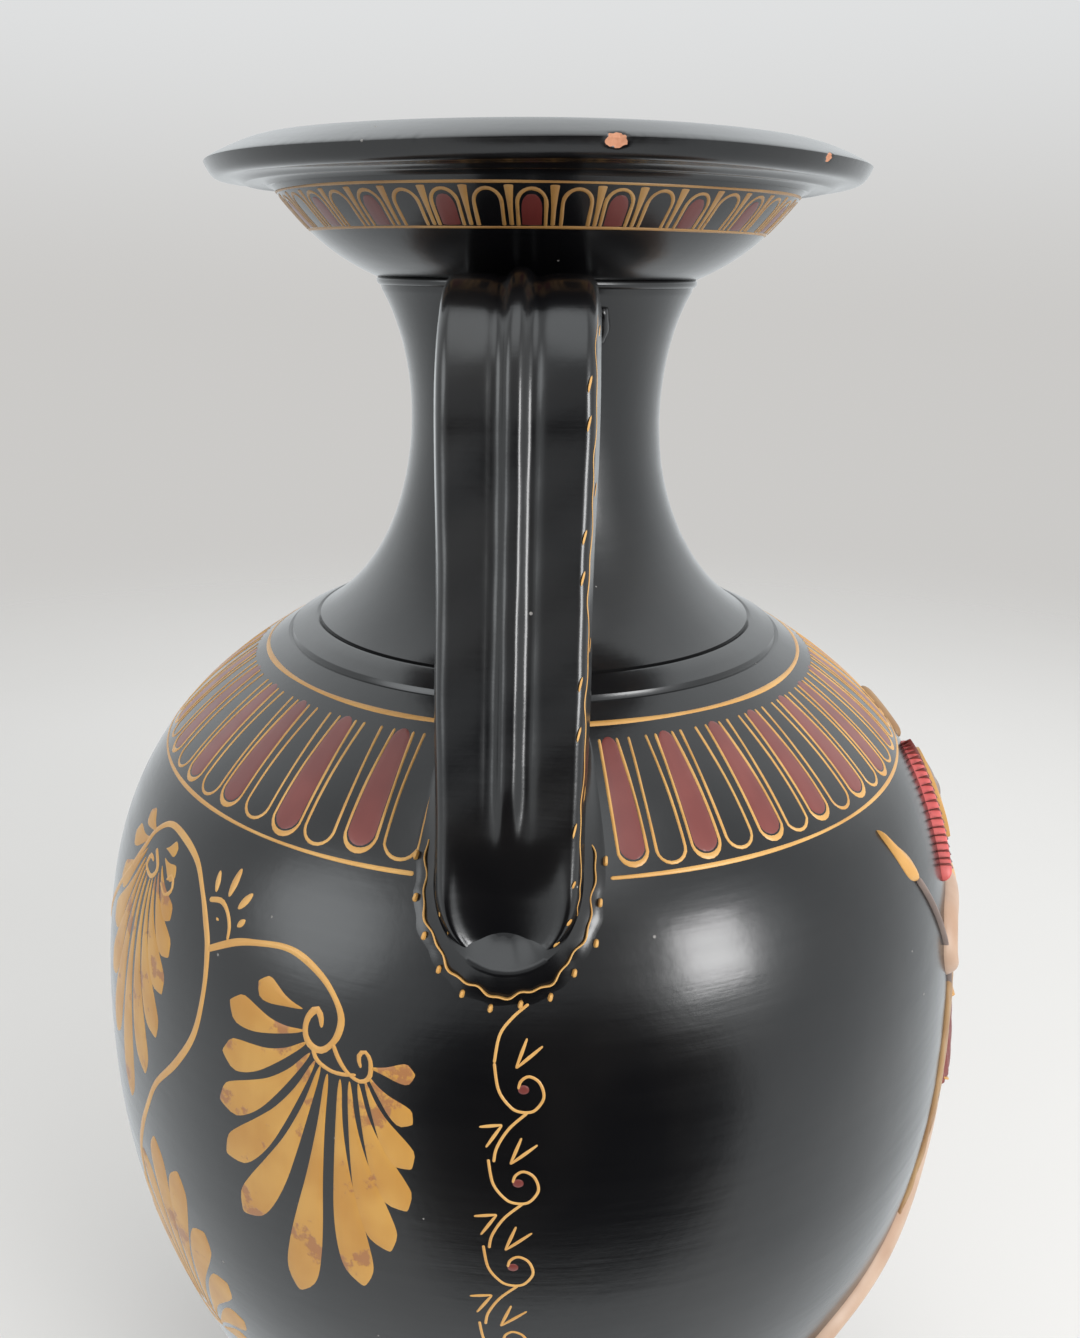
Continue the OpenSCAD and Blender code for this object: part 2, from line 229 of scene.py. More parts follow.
class Nodes:
    """A node tree with short ways to add and join nodes."""

    def __init__(self, tree: bpy.types.NodeTree) -> None:
        """Works on a tree.

        Args:
            tree: A material's, world's or group's node tree.
        """
        self.tree = tree

    def add(self, kind: str, settings: Optional[dict] = None, **inputs: object) -> bpy.types.Node:
        """Adds a node and fills its inputs.

        Args:
            kind: Blender's name of the node type.
            settings: Attributes of the node.
            **inputs: Input sockets by name with _ for a space, or i0, i1 for a place; each is a
                value or another node's output.

        Returns:
            The node.
        """
        node = self.tree.nodes.new(kind)
        for key, value in (settings or {}).items():
            setattr(node, key, value)
        for key, value in inputs.items():
            place = int(key[1:]) if key[0] == "i" and key[1:].isdigit() else key.replace("_", " ")
            if isinstance(value, bpy.types.NodeSocket):
                self.tree.links.new(value, node.inputs[place])
            else:
                node.inputs[place].default_value = value
        return node

    def maths(self, operation: str, *values: object) -> bpy.types.NodeSocket:
        """One step of arithmetic on values or sockets."""
        inputs = {f"i{i}": v for i, v in enumerate(values)}
        return self.add("ShaderNodeMath", {"operation": operation}, **inputs).outputs[0]

    def mix(self, share: object, first: object, second: object) -> bpy.types.NodeSocket:
        """A colour between two, by a share from 0 to 1."""
        return self.add("ShaderNodeMix", {"data_type": "RGBA"}, i0=share, i6=first,
                        i7=second).outputs[2]

    def band(self, value: object, low: float, high: float,
             top: float = 1.0) -> bpy.types.NodeSocket:
        """A value mapped from low..high to 0..top, eased at both ends."""
        node = self.add("ShaderNodeMapRange", {"interpolation_type": "SMOOTHSTEP"}, Value=value)
        node.inputs["From Min"].default_value, node.inputs["From Max"].default_value = low, high
        node.inputs["To Max"].default_value = top
        return node.outputs[0]

    def noise(self, where: object, scale: float, detail: float = 3.0,
              rough: float = 0.55) -> bpy.types.NodeSocket:
        """Cloudy noise from 0 to 1 on a position."""
        return self.add("ShaderNodeTexNoise", Vector=where, Scale=scale, Detail=detail,
                        Roughness=rough).outputs[0]


def group(name: str, inputs: dict, outputs: dict, fill: Callable) -> bpy.types.NodeTree:
    """A shader node group with named inputs and outputs.

    Args:
        name: The group's name.
        inputs: Socket kind and starting value by input name.
        outputs: Socket kind by output name.
        fill: Takes the group's Nodes and its input sockets, and returns output sockets by name.

    Returns:
        The node group.
    """
    tree = bpy.data.node_groups.new(name, "ShaderNodeTree")
    for key, (kind, value) in inputs.items():
        tree.interface.new_socket(key, in_out="INPUT", socket_type=kind.value).default_value = value
    for key, kind in outputs.items():
        tree.interface.new_socket(key, in_out="OUTPUT", socket_type=kind.value)
    nodes = Nodes(tree)
    start = nodes.add("NodeGroupInput")
    end = nodes.add("NodeGroupOutput")
    for key, socket in fill(nodes, start.outputs).items():
        tree.links.new(socket, end.inputs[key])
    return tree


def object_place(nodes: Nodes, stretch: tuple = (1.0, 1.0, 1.0)) -> bpy.types.NodeSocket:
    """The object coordinates, stretched along the axes by Mapping's scale."""
    where = nodes.add("ShaderNodeTexCoord").outputs["Object"]
    return nodes.add("ShaderNodeMapping", Vector=where, Scale=stretch).outputs[0]


def fill_handwork(nodes: Nodes, given: dict) -> dict:
    """Marks of hand and brush: level streaks round the pot, a fine orange peel and dust specks.

    Streaks are noise squeezed in height, the peel is a fine noise, and specks are the middles of
    scattered cells that a second noise lets through.
    """
    flat = object_place(nodes, (9.0, 9.0, 150.0))
    place = object_place(nodes)
    streak = nodes.noise(flat, 1.6, 4.0, 0.6)
    cloud = nodes.noise(place, 22.0, 3.0)
    peel = nodes.noise(place, 520.0, 2.0)
    ripple = nodes.noise(place, 75.0, 2.0, 0.4)
    cells = nodes.add("ShaderNodeTexVoronoi", Vector=place, Scale=330.0)
    keep = nodes.add("ShaderNodeSeparateColor", Color=cells.outputs["Color"])
    chosen = nodes.maths("GREATER_THAN", keep.outputs[0],
                         nodes.maths("SUBTRACT", 1.0, given["Dust"]))
    size = nodes.maths("MULTIPLY", keep.outputs[1], 0.16)
    speck = nodes.maths("MULTIPLY", chosen, nodes.maths("LESS_THAN", cells.outputs["Distance"],
                                                        size))
    height = nodes.maths("ADD", nodes.maths("MULTIPLY", streak, 0.5),
                         nodes.maths("MULTIPLY", peel, 0.16))
    height = nodes.maths("ADD", height, nodes.maths("MULTIPLY", ripple, 0.9))
    return {"Streak": streak, "Cloud": cloud, "Speck": speck, "Height": height}


def fill_wear(nodes: Nodes, given: dict) -> dict:
    """Where brushed paint thins: blotches of a coarse noise cut by a fine one, and brush hairs.

    A point is worn where coarse plus a third of fine passes a level set by Amount; hairs are noise
    drawn out along the height.
    """
    place = object_place(nodes)
    coarse = nodes.noise(place, 95.0, 2.0, 0.5)
    fine = nodes.noise(place, 520.0, 3.0, 0.7)
    both = nodes.maths("ADD", coarse, nodes.maths("MULTIPLY", fine, 0.33))
    level = nodes.maths("SUBTRACT", 1.02, given["Amount"])
    worn = nodes.maths("MULTIPLY", nodes.maths("SUBTRACT", both, level), 14.0)
    worn = nodes.band(worn, 0.0, 1.0)
    tone = nodes.noise(place, 60.0, 2.0, 0.5)
    hairs = nodes.noise(object_place(nodes, (420.0, 420.0, 60.0)), 1.0, 2.0)
    height = nodes.maths("SUBTRACT", nodes.maths("MULTIPLY", hairs, 0.4),
                         nodes.maths("MULTIPLY", worn, 0.8))
    return {"Worn": worn, "Tone": tone, "Hairs": hairs, "Height": height}


HANDWORK = group("hand and brush marks", {"Dust": (Socket.VALUE, 0.01)},
                 {"Streak": Socket.VALUE, "Cloud": Socket.VALUE, "Speck": Socket.VALUE,
                  "Height": Socket.VALUE}, fill_handwork)
WEAR = group("thin and worn paint", {"Amount": (Socket.VALUE, 0.2)},
             {"Worn": Socket.VALUE, "Tone": Socket.VALUE, "Hairs": Socket.VALUE,
              "Height": Socket.VALUE}, fill_wear)


def shader_of(name: str) -> tuple:
    """An empty material with a Principled shader.

    Args:
        name: The material's name.

    Returns:
        The material, its Nodes and its shader node.
    """
    material = bpy.data.materials.new(name)
    material.use_nodes = True
    nodes = Nodes(material.node_tree)
    return material, nodes, material.node_tree.nodes["Principled BSDF"]


@dataclass(frozen=True)
class BlackGlaze:
    """Fired black glaze over brick-red clay: brushed, a little uneven, soft in its shine."""

    name: str = "black_glaze"
    deep: tuple = (0.0030, 0.0030, 0.0036, 1)
    thin: tuple = (0.0070, 0.0064, 0.0064, 1)
    dust: tuple = (0.20, 0.19, 0.18, 1)
    clay: tuple = (0.40, 0.16, 0.085, 1)
    roughness: float = 0.215
    bump: float = 0.17
    dusty: float = 0.02

    def material(self) -> bpy.types.Material:
        """The finish; where the attribute "mark" nears 1 the glaze has chipped off the clay."""
        material, nodes, shader = shader_of(self.name)
        hand = nodes.add("ShaderNodeGroup", {"node_tree": HANDWORK}, Dust=self.dusty).outputs
        colour = nodes.mix(nodes.band(hand["Cloud"], 0.35, 0.75), self.deep, self.thin)
        colour = nodes.mix(hand["Speck"], colour, self.dust)
        mark = nodes.add("ShaderNodeAttribute", {"attribute_name": "mark"}).outputs["Fac"]
        ragged = nodes.maths("ADD", mark, nodes.maths("MULTIPLY", nodes.maths(
            "SUBTRACT", nodes.noise(object_place(nodes), 900.0, 3.0, 0.7), 0.5), 0.5))
        bare = nodes.maths("MULTIPLY", nodes.band(ragged, 0.45, 0.55), nodes.band(mark, 0.05, 0.15))
        grain = nodes.mix(nodes.noise(object_place(nodes), 1400.0, 3.0), self.clay,
                          (0.56, 0.28, 0.17, 1))
        nodes.tree.links.new(nodes.mix(bare, colour, grain), shader.inputs["Base Color"])
        rough = nodes.maths("ADD", self.roughness - 0.05,
                            nodes.maths("MULTIPLY", hand["Streak"], 0.1))
        rough = nodes.maths("ADD", rough, nodes.maths("MULTIPLY", hand["Speck"], 0.4))
        rough = nodes.maths("ADD", rough, nodes.maths("MULTIPLY", bare, 0.6))
        nodes.tree.links.new(rough, shader.inputs["Roughness"])
        bump = nodes.add("ShaderNodeBump", Strength=self.bump, Distance=0.0006,
                         Height=hand["Height"])
        nodes.tree.links.new(bump.outputs[0], shader.inputs["Normal"])
        shader.inputs["Specular IOR Level"].default_value = 0.5
        return material


@dataclass(frozen=True)
class Paint:
    """Matt or satin paint brushed over the glaze, thinner and browner where it has worn."""

    name: str
    full: tuple
    pale: tuple
    worn: tuple
    roughness: float = 0.42
    wear: float = 0.16
    bump: float = 0.35

    def material(self) -> bpy.types.Material:
        """The finish: two tones by a slow noise, hairs of the brush, and worn blotches."""
        material, nodes, shader = shader_of(self.name)
        wear = nodes.add("ShaderNodeGroup", {"node_tree": WEAR}, Amount=self.wear).outputs
        hand = nodes.add("ShaderNodeGroup", {"node_tree": HANDWORK}, Dust=0.01).outputs
        tone = nodes.maths("ADD", nodes.band(wear["Tone"], 0.3, 0.7, 0.8),
                           nodes.maths("MULTIPLY", wear["Hairs"], 0.25))
        colour = nodes.mix(tone, self.full, self.pale)
        colour = nodes.mix(nodes.maths("MULTIPLY", wear["Worn"], 0.85), colour, self.worn)
        nodes.tree.links.new(colour, shader.inputs["Base Color"])
        rough = nodes.maths("ADD", self.roughness - 0.06,
                            nodes.maths("MULTIPLY", hand["Streak"], 0.12))
        nodes.tree.links.new(rough, shader.inputs["Roughness"])
        bump = nodes.add("ShaderNodeBump", Strength=self.bump, Distance=0.0003,
                         Height=wear["Height"])
        nodes.tree.links.new(bump.outputs[0], shader.inputs["Normal"])
        return material


class Palette:
    """The pot's finishes, each made once."""

    def __init__(self) -> None:
        """Makes every finish."""
        self.black = BlackGlaze().material()
        self.ochre = Paint("ochre_paint", (0.50, 0.25, 0.060, 1), (0.60, 0.34, 0.10, 1),
                           (0.16, 0.075, 0.030, 1), 0.40, 0.10).material()
        self.gold = Paint("ochre_petals", (0.43, 0.200, 0.030, 1), (0.53, 0.285, 0.060, 1),
                          (0.30, 0.12, 0.045, 1), 0.42, 0.27).material()
        self.maroon = Paint("maroon_paint", (0.130, 0.024, 0.020, 1), (0.175, 0.038, 0.031, 1),
                            (0.065, 0.016, 0.015, 1), 0.34, 0.10, 0.2).material()
        # Darker copies of the ochre and the maroon for the arches under the lip: painted shade for the
        # lip's shadow over the cup.
        self.mouth_ochre_painted_shade = Paint("ochre_mouth", (0.25, 0.125, 0.035, 1), (0.33, 0.185, 0.06, 1),
                                 (0.10, 0.045, 0.02, 1), 0.42, 0.14).material()
        self.mouth_red_painted_shade = Paint("maroon_mouth", (0.085, 0.014, 0.012, 1), (0.115, 0.022, 0.018, 1),
                               (0.04, 0.01, 0.01, 1), 0.36, 0.10, 0.2).material()
        self.coral = Paint("coral_paint", (0.48, 0.060, 0.060, 1), (0.60, 0.12, 0.11, 1),
                           (0.30, 0.05, 0.05, 1), 0.45, 0.14).material()
        self.olive = Paint("olive_paint", (0.24, 0.125, 0.050, 1), (0.33, 0.20, 0.085, 1),
                           (0.10, 0.05, 0.03, 1), 0.46, 0.2).material()
        self.flesh = Paint("flesh_paint", (0.38, 0.235, 0.155, 1), (0.48, 0.34, 0.25, 1),
                           (0.34, 0.15, 0.09, 1), 0.46, 0.16).material()
        self.brown = Paint("brown_paint", (0.13, 0.095, 0.085, 1), (0.22, 0.165, 0.14, 1),
                           (0.05, 0.035, 0.03, 1), 0.5, 0.16).material()


# ---- The vessel's shape ------------------------------------------------------------------------


@dataclass(frozen=True)
class Thrown:
    """The pot's outside curve and its sizes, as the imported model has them."""

    belly_r: float = 138.5
    belly_z: float = 213.0
    base_r: float = 42.0
    foot_h: float = 26.0
    foot_r: float = 66.0
    ring_r: float = 51.0
    seam_z: float = 342.5
    seam_r: float = 77.0
    waist_z: float = 409.04
    waist_r: float = 37.4
    ridge_z: float = 445.5
    ridge_r: float = 45.0
    cup_z: float = 469.5
    cup_r: float = 74.5
    lip_r: float = 92.0
    wall: float = 7.0
    wobble_mm: float = 0.16

    def lower(self) -> np.ndarray:
        """Outside of the lower section, from the foot up."""
        return bezier([(self.base_r, self.foot_h), (95, 60), (self.belly_r, 140.07),
                       (self.belly_r, self.belly_z)], 150)

    def upper(self) -> np.ndarray:
        """Outside of the upper section, from the belly to the neck's collar."""
        return bezier([(self.belly_r, self.belly_z), (self.belly_r, 290.05), (122, 315.7),
                       (self.seam_r, self.seam_z)], 130)

    def neck(self) -> np.ndarray:
        """Outside of the neck, from the top of its collar to under the ridge."""
        low = bezier([(67, 347.6), (50, 357.6), (self.waist_r, 380.04),
                      (self.waist_r, self.waist_z)], 70)
        high = bezier([(self.waist_r, self.waist_z), (self.waist_r, 423.04), (40.5, 435),
                       (self.ridge_r, 443)], 36)
        return np.vstack([low, high[1:]])

    def cup(self) -> np.ndarray:
        """Outside of the mouth, from the ridge to under the lip."""
        return bezier([(46.3, 446.5), (60, 452.5), (66, 459), (self.cup_r, self.cup_z)], 44)

    def outside(self) -> np.ndarray:
        """The whole outside curve below the lip."""
        return np.vstack([self.lower(), self.upper()[1:], self.neck(), self.cup()])

    def radius(self, z: np.ndarray) -> np.ndarray:
        """Outside radius at a height, read off the curve."""
        curve = self.outside()
        return np.interp(z, curve[:, 1], curve[:, 0])

    def wobble(self, angle: np.ndarray, z: np.ndarray) -> np.ndarray:
        """A potter's unevenness: three slow waves round and up the wall, summed."""
        a = np.radians(angle)
        return self.wobble_mm * (np.sin(2 * a + z / 47) + 0.6 * np.sin(3 * a - z / 29 + 1.3)
                                 + 0.35 * np.sin(z / 8.3 + a) + 0.25 * np.sin(5 * a + z / 17))

    def place(self, angle: np.ndarray, z: np.ndarray, lift: np.ndarray = 0.0) -> np.ndarray:
        """Points over the outside: the curve's point moved out by lift along its own normal.

        Args:
            angle: Degrees round the pot.
            z: Height.
            lift: Height over the surface.

        Returns:
            The points in millimetres, with one more axis than the inputs.
        """
        angle, z, lift = np.broadcast_arrays(np.asarray(angle, float), z, lift)
        slope = (self.radius(z + 0.4) - self.radius(z - 0.4)) / 0.8
        size = np.hypot(1, slope)
        r = self.radius(z) + self.wobble(angle, z) + lift / size
        a = np.radians(angle)
        return np.stack([-r * np.cos(a), -r * np.sin(a), z - lift * slope / size], -1)

    def normal(self, angle: np.ndarray, z: np.ndarray) -> np.ndarray:
        """Outward normals of the outside."""
        return unit(self.place(angle, z, 1.0) - self.place(angle, z, 0.0))


POT = Thrown()


class Brush:
    """Lays strokes, bands and filled shapes on the pot as thin closed skins."""

    def __init__(self, name: str, lift: float = 0.16) -> None:
        """Starts a piece of paintwork.

        Args:
            name: The piece's name.
            lift: Thickness of the paint.
        """
        self.clay = Clay(name)
        self.lift = lift

    def stroke(self, rows: list, lift: Optional[float] = None, steps: int = 8, across: int = 5,
               step: float = 1.2, fullness: float = 4.0, low: float = 0.12,
               cap: float = 99.0, cove: bool = False) -> None:
        """A stroke with round ends along a path on the pot.

        Its middle is a spline through the rows, its width comes from their third column, and its
        section rises as 1 - |c|^fullness across, closed underneath just inside the glaze.

        Args:
            rows: [angle, height, width] down the stroke.
            lift: Height of the paint, where it isn't the brush's own.
            steps: Spline points to a span.
            across: Points over the stroke's width.
            step: Distance between sections.
            fullness: How boxy the section is.
            low: How far the underside goes into the glaze.
            cap: Most that a round end may take of the length.
            cove: Whether the section is hollow instead, (1 - |c|)^1.7, as smeared clay.
        """
        lift = self.lift if lift is None else lift
        path = spline(rows, steps)
        middle = POT.place(path[:, 0], path[:, 1])
        run = along(middle)
        end = min(0.5 * path[:, 2].max(), 0.45 * run[-1], cap)
        turn = end * (1 - np.cos(np.linspace(0, np.pi / 2, 5)))
        body = np.linspace(end, run[-1] - end, max(3, int((run[-1] - 2 * end) / step) + 2))
        s = np.concatenate([turn[:-1], body, (run[-1] - turn[:-1])[::-1]])
        angle, z, width = (np.interp(s, run, path[:, k]) for k in range(3))
        near = np.minimum(np.minimum(s, run[-1] - s) / end, 1)
        closing = np.sqrt(np.maximum(1 - (1 - near) ** 2, 0))
        at = POT.place(angle, z)
        way = unit(np.gradient(at, axis=0))
        side = unit(np.cross(way, POT.normal(angle, z)))
        c = np.linspace(-1, 1, across)
        q = at[:, None] + side[:, None] * (c[None, :, None] * (width * closing)[:, None, None] / 2)
        qa = np.degrees(np.arctan2(-q[..., 1], -q[..., 0]))
        section = (1 - np.abs(c)) ** 1.7 if cove else 1 - np.abs(c) ** fullness
        rise = lift * section[None, :] * closing[:, None] + 0.004 * closing[:, None]
        top = POT.place(qa, q[..., 2], rise)
        bottom = POT.place(qa[:, [-1, 0]], q[:, [-1, 0], 2], -low * closing[:, None])
        self.clay.grid(np.concatenate([top, bottom], 1))

    def ring(self, z: float, width: float, waver: float = 0.12, seed: float = 0.0,
             steps: int = 240) -> None:
        """A band all round the pot at a height, wavering a little as a brush does."""
        angle = np.arange(steps) * 360.0 / steps
        a = np.radians(angle)
        mid = z + waver * (np.sin(3 * a + seed) + 0.5 * np.sin(7 * a + 2 * seed))
        w = width * (1 + 0.14 * np.sin(4 * a + seed) + 0.1 * np.sin(11 * a + seed))
        slope = (POT.radius(z + 0.5) - POT.radius(z - 0.5))
        w = w / np.hypot(1, slope)
        c = np.array([-1, -0.6, 0, 0.6, 1, 1, -1])
        lift = np.array([0.004, 0.9, 1, 0.9, 0.004, 0, 0]) * self.lift - np.array([0, 0, 0, 0, 0, 1,
                                                                                   1]) * 0.12
        rows = POT.place(angle[:, None], mid[:, None] + c[None, :] * w[:, None] / 2, lift[None, :])
        rows = np.concatenate([rows, rows[:1]])
        self.clay.grid(rows)


# ---- The turned pieces -------------------------------------------------------------------------


@dataclass
class ThrownBody:
    """The six turned pieces, from the foot to the lip, each a closed wall."""

    palette: Palette
    segments: int = 288
    lip_segments: int = 760
    rim_r: float = 88.0
    shape: Thrown = POT
    chips: list = field(default_factory=lambda: [
        (12.8, 0.9, 2.8), (50.9, 0.45, 1.3), (128.0, 0.5, 1.6), (203.0, 0.5, 1.8),
        (-74.0, 0.3, 0.9)])

    def inside(self, curve: np.ndarray, wall: float) -> np.ndarray:
        """A curve moved in by the wall along its own normal, and turned end for end."""
        way = unit(np.gradient(curve, axis=0))
        return (curve + wall * np.stack([-way[:, 1], way[:, 0]], -1))[::-1]

    def turned(self, name: str, profile: np.ndarray, mark: Optional[Callable] = None,
               segments: int = 0) -> bpy.types.Object:
        """One turned piece whose closed profile is revolved.

        Args:
            name: The piece and the CAD node it stands for.
            profile: Closed loop of [radius, height].
            mark: Changes the grid and gives its marks, for chips.
            segments: Steps round, where not the usual.

        Returns:
            The piece.
        """
        closed = np.vstack([profile, profile[:1]])
        points = revolved(closed, segments or self.segments, self.shape.wobble)
        marks = None
        if mark:
            points, marks = mark(points)
        clay = Clay(name)
        clay.grid(points, mark=marks)
        return clay.piece(self.palette.black, "black_glaze", (name,), 28.0)

    def foot(self) -> None:
        """The ring foot: hollow below, a rounded toe, and a curve up to the body."""
        s = self.shape
        around = np.radians(np.linspace(-90, 78, 18))
        toe = np.stack([s.foot_r - 5.6 + 5.6 * np.cos(around), 5.8 + 5.8 * np.sin(around)], -1)
        hollow = bezier([(0.5, 15), (25, 15), (s.ring_r - 10, 13), (s.ring_r, 0)], 30)
        rise = bezier([(61, 12), (54, 15), (47, 19), (s.base_r, s.foot_h)], 24)
        self.turned("foot", np.vstack([hollow, [(s.ring_r + 2, 0)], toe, rise, [(0.5, s.foot_h)]]))

    def lower_body(self) -> None:
        """The lower section, its wall lapped inside the upper one at the belly."""
        s = self.shape
        curve = s.lower()
        inner = self.inside(curve, s.wall)
        inner = inner[(inner[:, 1] < s.belly_z - 9) & (inner[:, 1] > s.foot_h + s.wall + 2)]
        lap = [(s.belly_r - s.wall / 2, s.belly_z), (s.belly_r - s.wall / 2, s.belly_z - 8),
               (s.belly_r - s.wall, s.belly_z - 8)]
        self.turned("lower_body", np.vstack([curve, lap, inner, [(0.5, s.foot_h + 9)],
                                             [(0.5, s.foot_h)]]))

    def upper_body(self) -> None:
        """The upper section, from the lap at the belly to the socket that takes the neck."""
        s = self.shape
        curve = s.upper()
        inner = self.inside(curve, s.wall)
        inner = inner[inner[:, 0] > 62.5]
        lap = [(s.belly_r - s.wall, s.belly_z - 8), (s.belly_r - s.wall / 2, s.belly_z - 8),
               (s.belly_r - s.wall / 2, s.belly_z)]
        self.turned("upper_body", np.vstack([curve, [(62, s.seam_z), (62, s.seam_z - 8.2)], inner,
                                             lap]))

    def neck(self) -> None:
        """The neck: a stepped collar with a groove at each edge, the sweep, and the ridge."""
        s = self.shape
        collar = np.array([(s.seam_r - 0.9, s.seam_z), (s.seam_r - 1.3, s.seam_z + 0.7),
                           (s.seam_r - 1.5, s.seam_z + 1.4), (72.5, 345.3), (69.0, 347.0),
                           (68.2, 347.15), (67.3, 346.7), (66.9, 346.7)])
        curve = s.neck()
        around = np.radians(np.linspace(-80, 80, 13))
        ridge = np.stack([s.ridge_r + 1.4 * np.cos(around), s.ridge_z + 1.3 * np.sin(around)], -1)
        inner = self.inside(curve, s.wall)
        inner = inner[(inner[:, 0] < 54) & (inner[:, 1] < s.ridge_z - 6)]
        spigot = [(55, s.seam_z - 6.5), (62, s.seam_z - 6.5), (62, s.seam_z)]
        top = [(41.5, s.ridge_z + 1), (41.5, s.ridge_z - 3), (38, s.ridge_z - 3)]
        self.turned("neck", np.vstack([collar, curve, ridge, top, inner, spigot]))

    def mouth(self) -> None:
        """The cup under the lip."""
        s = self.shape
        curve = s.cup()
        inner = self.inside(curve, s.wall)
        inner = inner[(inner[:, 1] > s.ridge_z + 4) & (inner[:, 1] < s.cup_z - 1)]
        low = [(38, s.ridge_z - 3), (41.5, s.ridge_z - 3), (41.5, s.ridge_z + 1)]
        self.turned("mouth", np.vstack([curve, [(s.cup_r - s.wall, s.cup_z)], inner, low]))

    def lip(self) -> None:
        """The broad lip: undercut below, a worn edge, and a top that falls to the mouth."""
        s = self.shape
        z = s.cup_z
        tip = (s.lip_r, z + 6.1)
        edge = bezier([(86.0, z + 1.9), (89.4, z + 1.7), (90.4, z + 2.2), tip], 16)
        under = bezier([(76.3, z + 0.8), (77.6, z + 1.5), (79.8, z + 1.3), (81.2, z + 0.7)], 10)
        bead = bezier([(81.2, z + 0.7), (82.2, z + 0.3), (82.6, z + 1.8), (86.0, z + 1.9)], 12)
        slope = bezier([tip, (91.6, z + 6.8), (84.2, z + 10.2), (80.6, z + 11.1)], 22)
        crest = bezier([(80.6, z + 11.1), (79.8, z + 11.4), (78.6, z + 11.4), (77.6, z + 11.1)], 6)
        fall = bezier([(77.6, z + 11.1), (73.6, z + 10.2), (69.5, z + 4), (s.cup_r - s.wall, z)],
                      26)
        profile = np.vstack([[(s.cup_r - s.wall, z), (75.5, z)], under, bead[1:], edge[1:],
                             slope[1:],
                             crest[1:], fall[1:-1]])
        self.turned("lip", profile, self.chipped, self.lip_segments)

    def chipped(self, points: np.ndarray) -> tuple:
        """Bites small chips out of the lip's rim, moving points near a chip towards the axis.

        The bite is its depth times 1 less the square of the distance over the chip's size, with a
        fine ripple, and the same share marks the bare clay.
        """
        angle = np.degrees(np.arctan2(-points[..., 1], -points[..., 0]))
        r = np.hypot(points[..., 0], points[..., 1])
        z = points[..., 2] - self.shape.cup_z
        sag = 0.5 * np.sin(np.radians(angle) * 2 + 0.6) + 0.22 * np.sin(np.radians(angle) * 5)
        points[..., 2] += np.where(z > 0.2, sag * np.clip((r - 74) / 16, 0, 1), 0)
        bite = np.zeros_like(r)
        mark = np.zeros_like(r)
        for at, depth, size in self.chips:
            across = ((angle - at + 180) % 360 - 180) * np.radians(1) * 90
            ripple = 0.25 * np.sin(across * 3.1 + z * 2.3 + at)
            far = np.hypot(across / size, (z - 5.5) / np.sqrt(size)) + 0.4 * ripple
            share = np.clip(1 - far**2, 0, 1) * (r > self.rim_r)
            bite = np.maximum(bite, depth * share)
            mark = np.maximum(mark, np.clip(share * 2.2, 0, 1))
        nick = np.maximum(np.sin(angle * 1.7) + np.sin(angle * 4.3 + 1) + np.sin(angle * 9.1) - 1.2,
                          0)
        worn = 0.05 + 0.30 * hump(angle, -11.5, 7.0)
        bite += nick * worn * hump(z, 6.3, 0.8) * (r > self.rim_r)
        points[..., :2] *= (1 - bite / np.maximum(r, 1))[..., None]
        points[..., 2] -= 0.35 * bite * (z > 3)
        return points, mark

    def build(self) -> None:
        """Makes all six pieces."""
        for make in (self.foot, self.lower_body, self.upper_body, self.neck, self.mouth, self.lip):
            make()


# ---- The handles -------------------------------------------------------------------------------


class Side(Enum):
    """The two handles, by how far each is turned from +X."""

    LEFT = 180
    RIGHT = 0


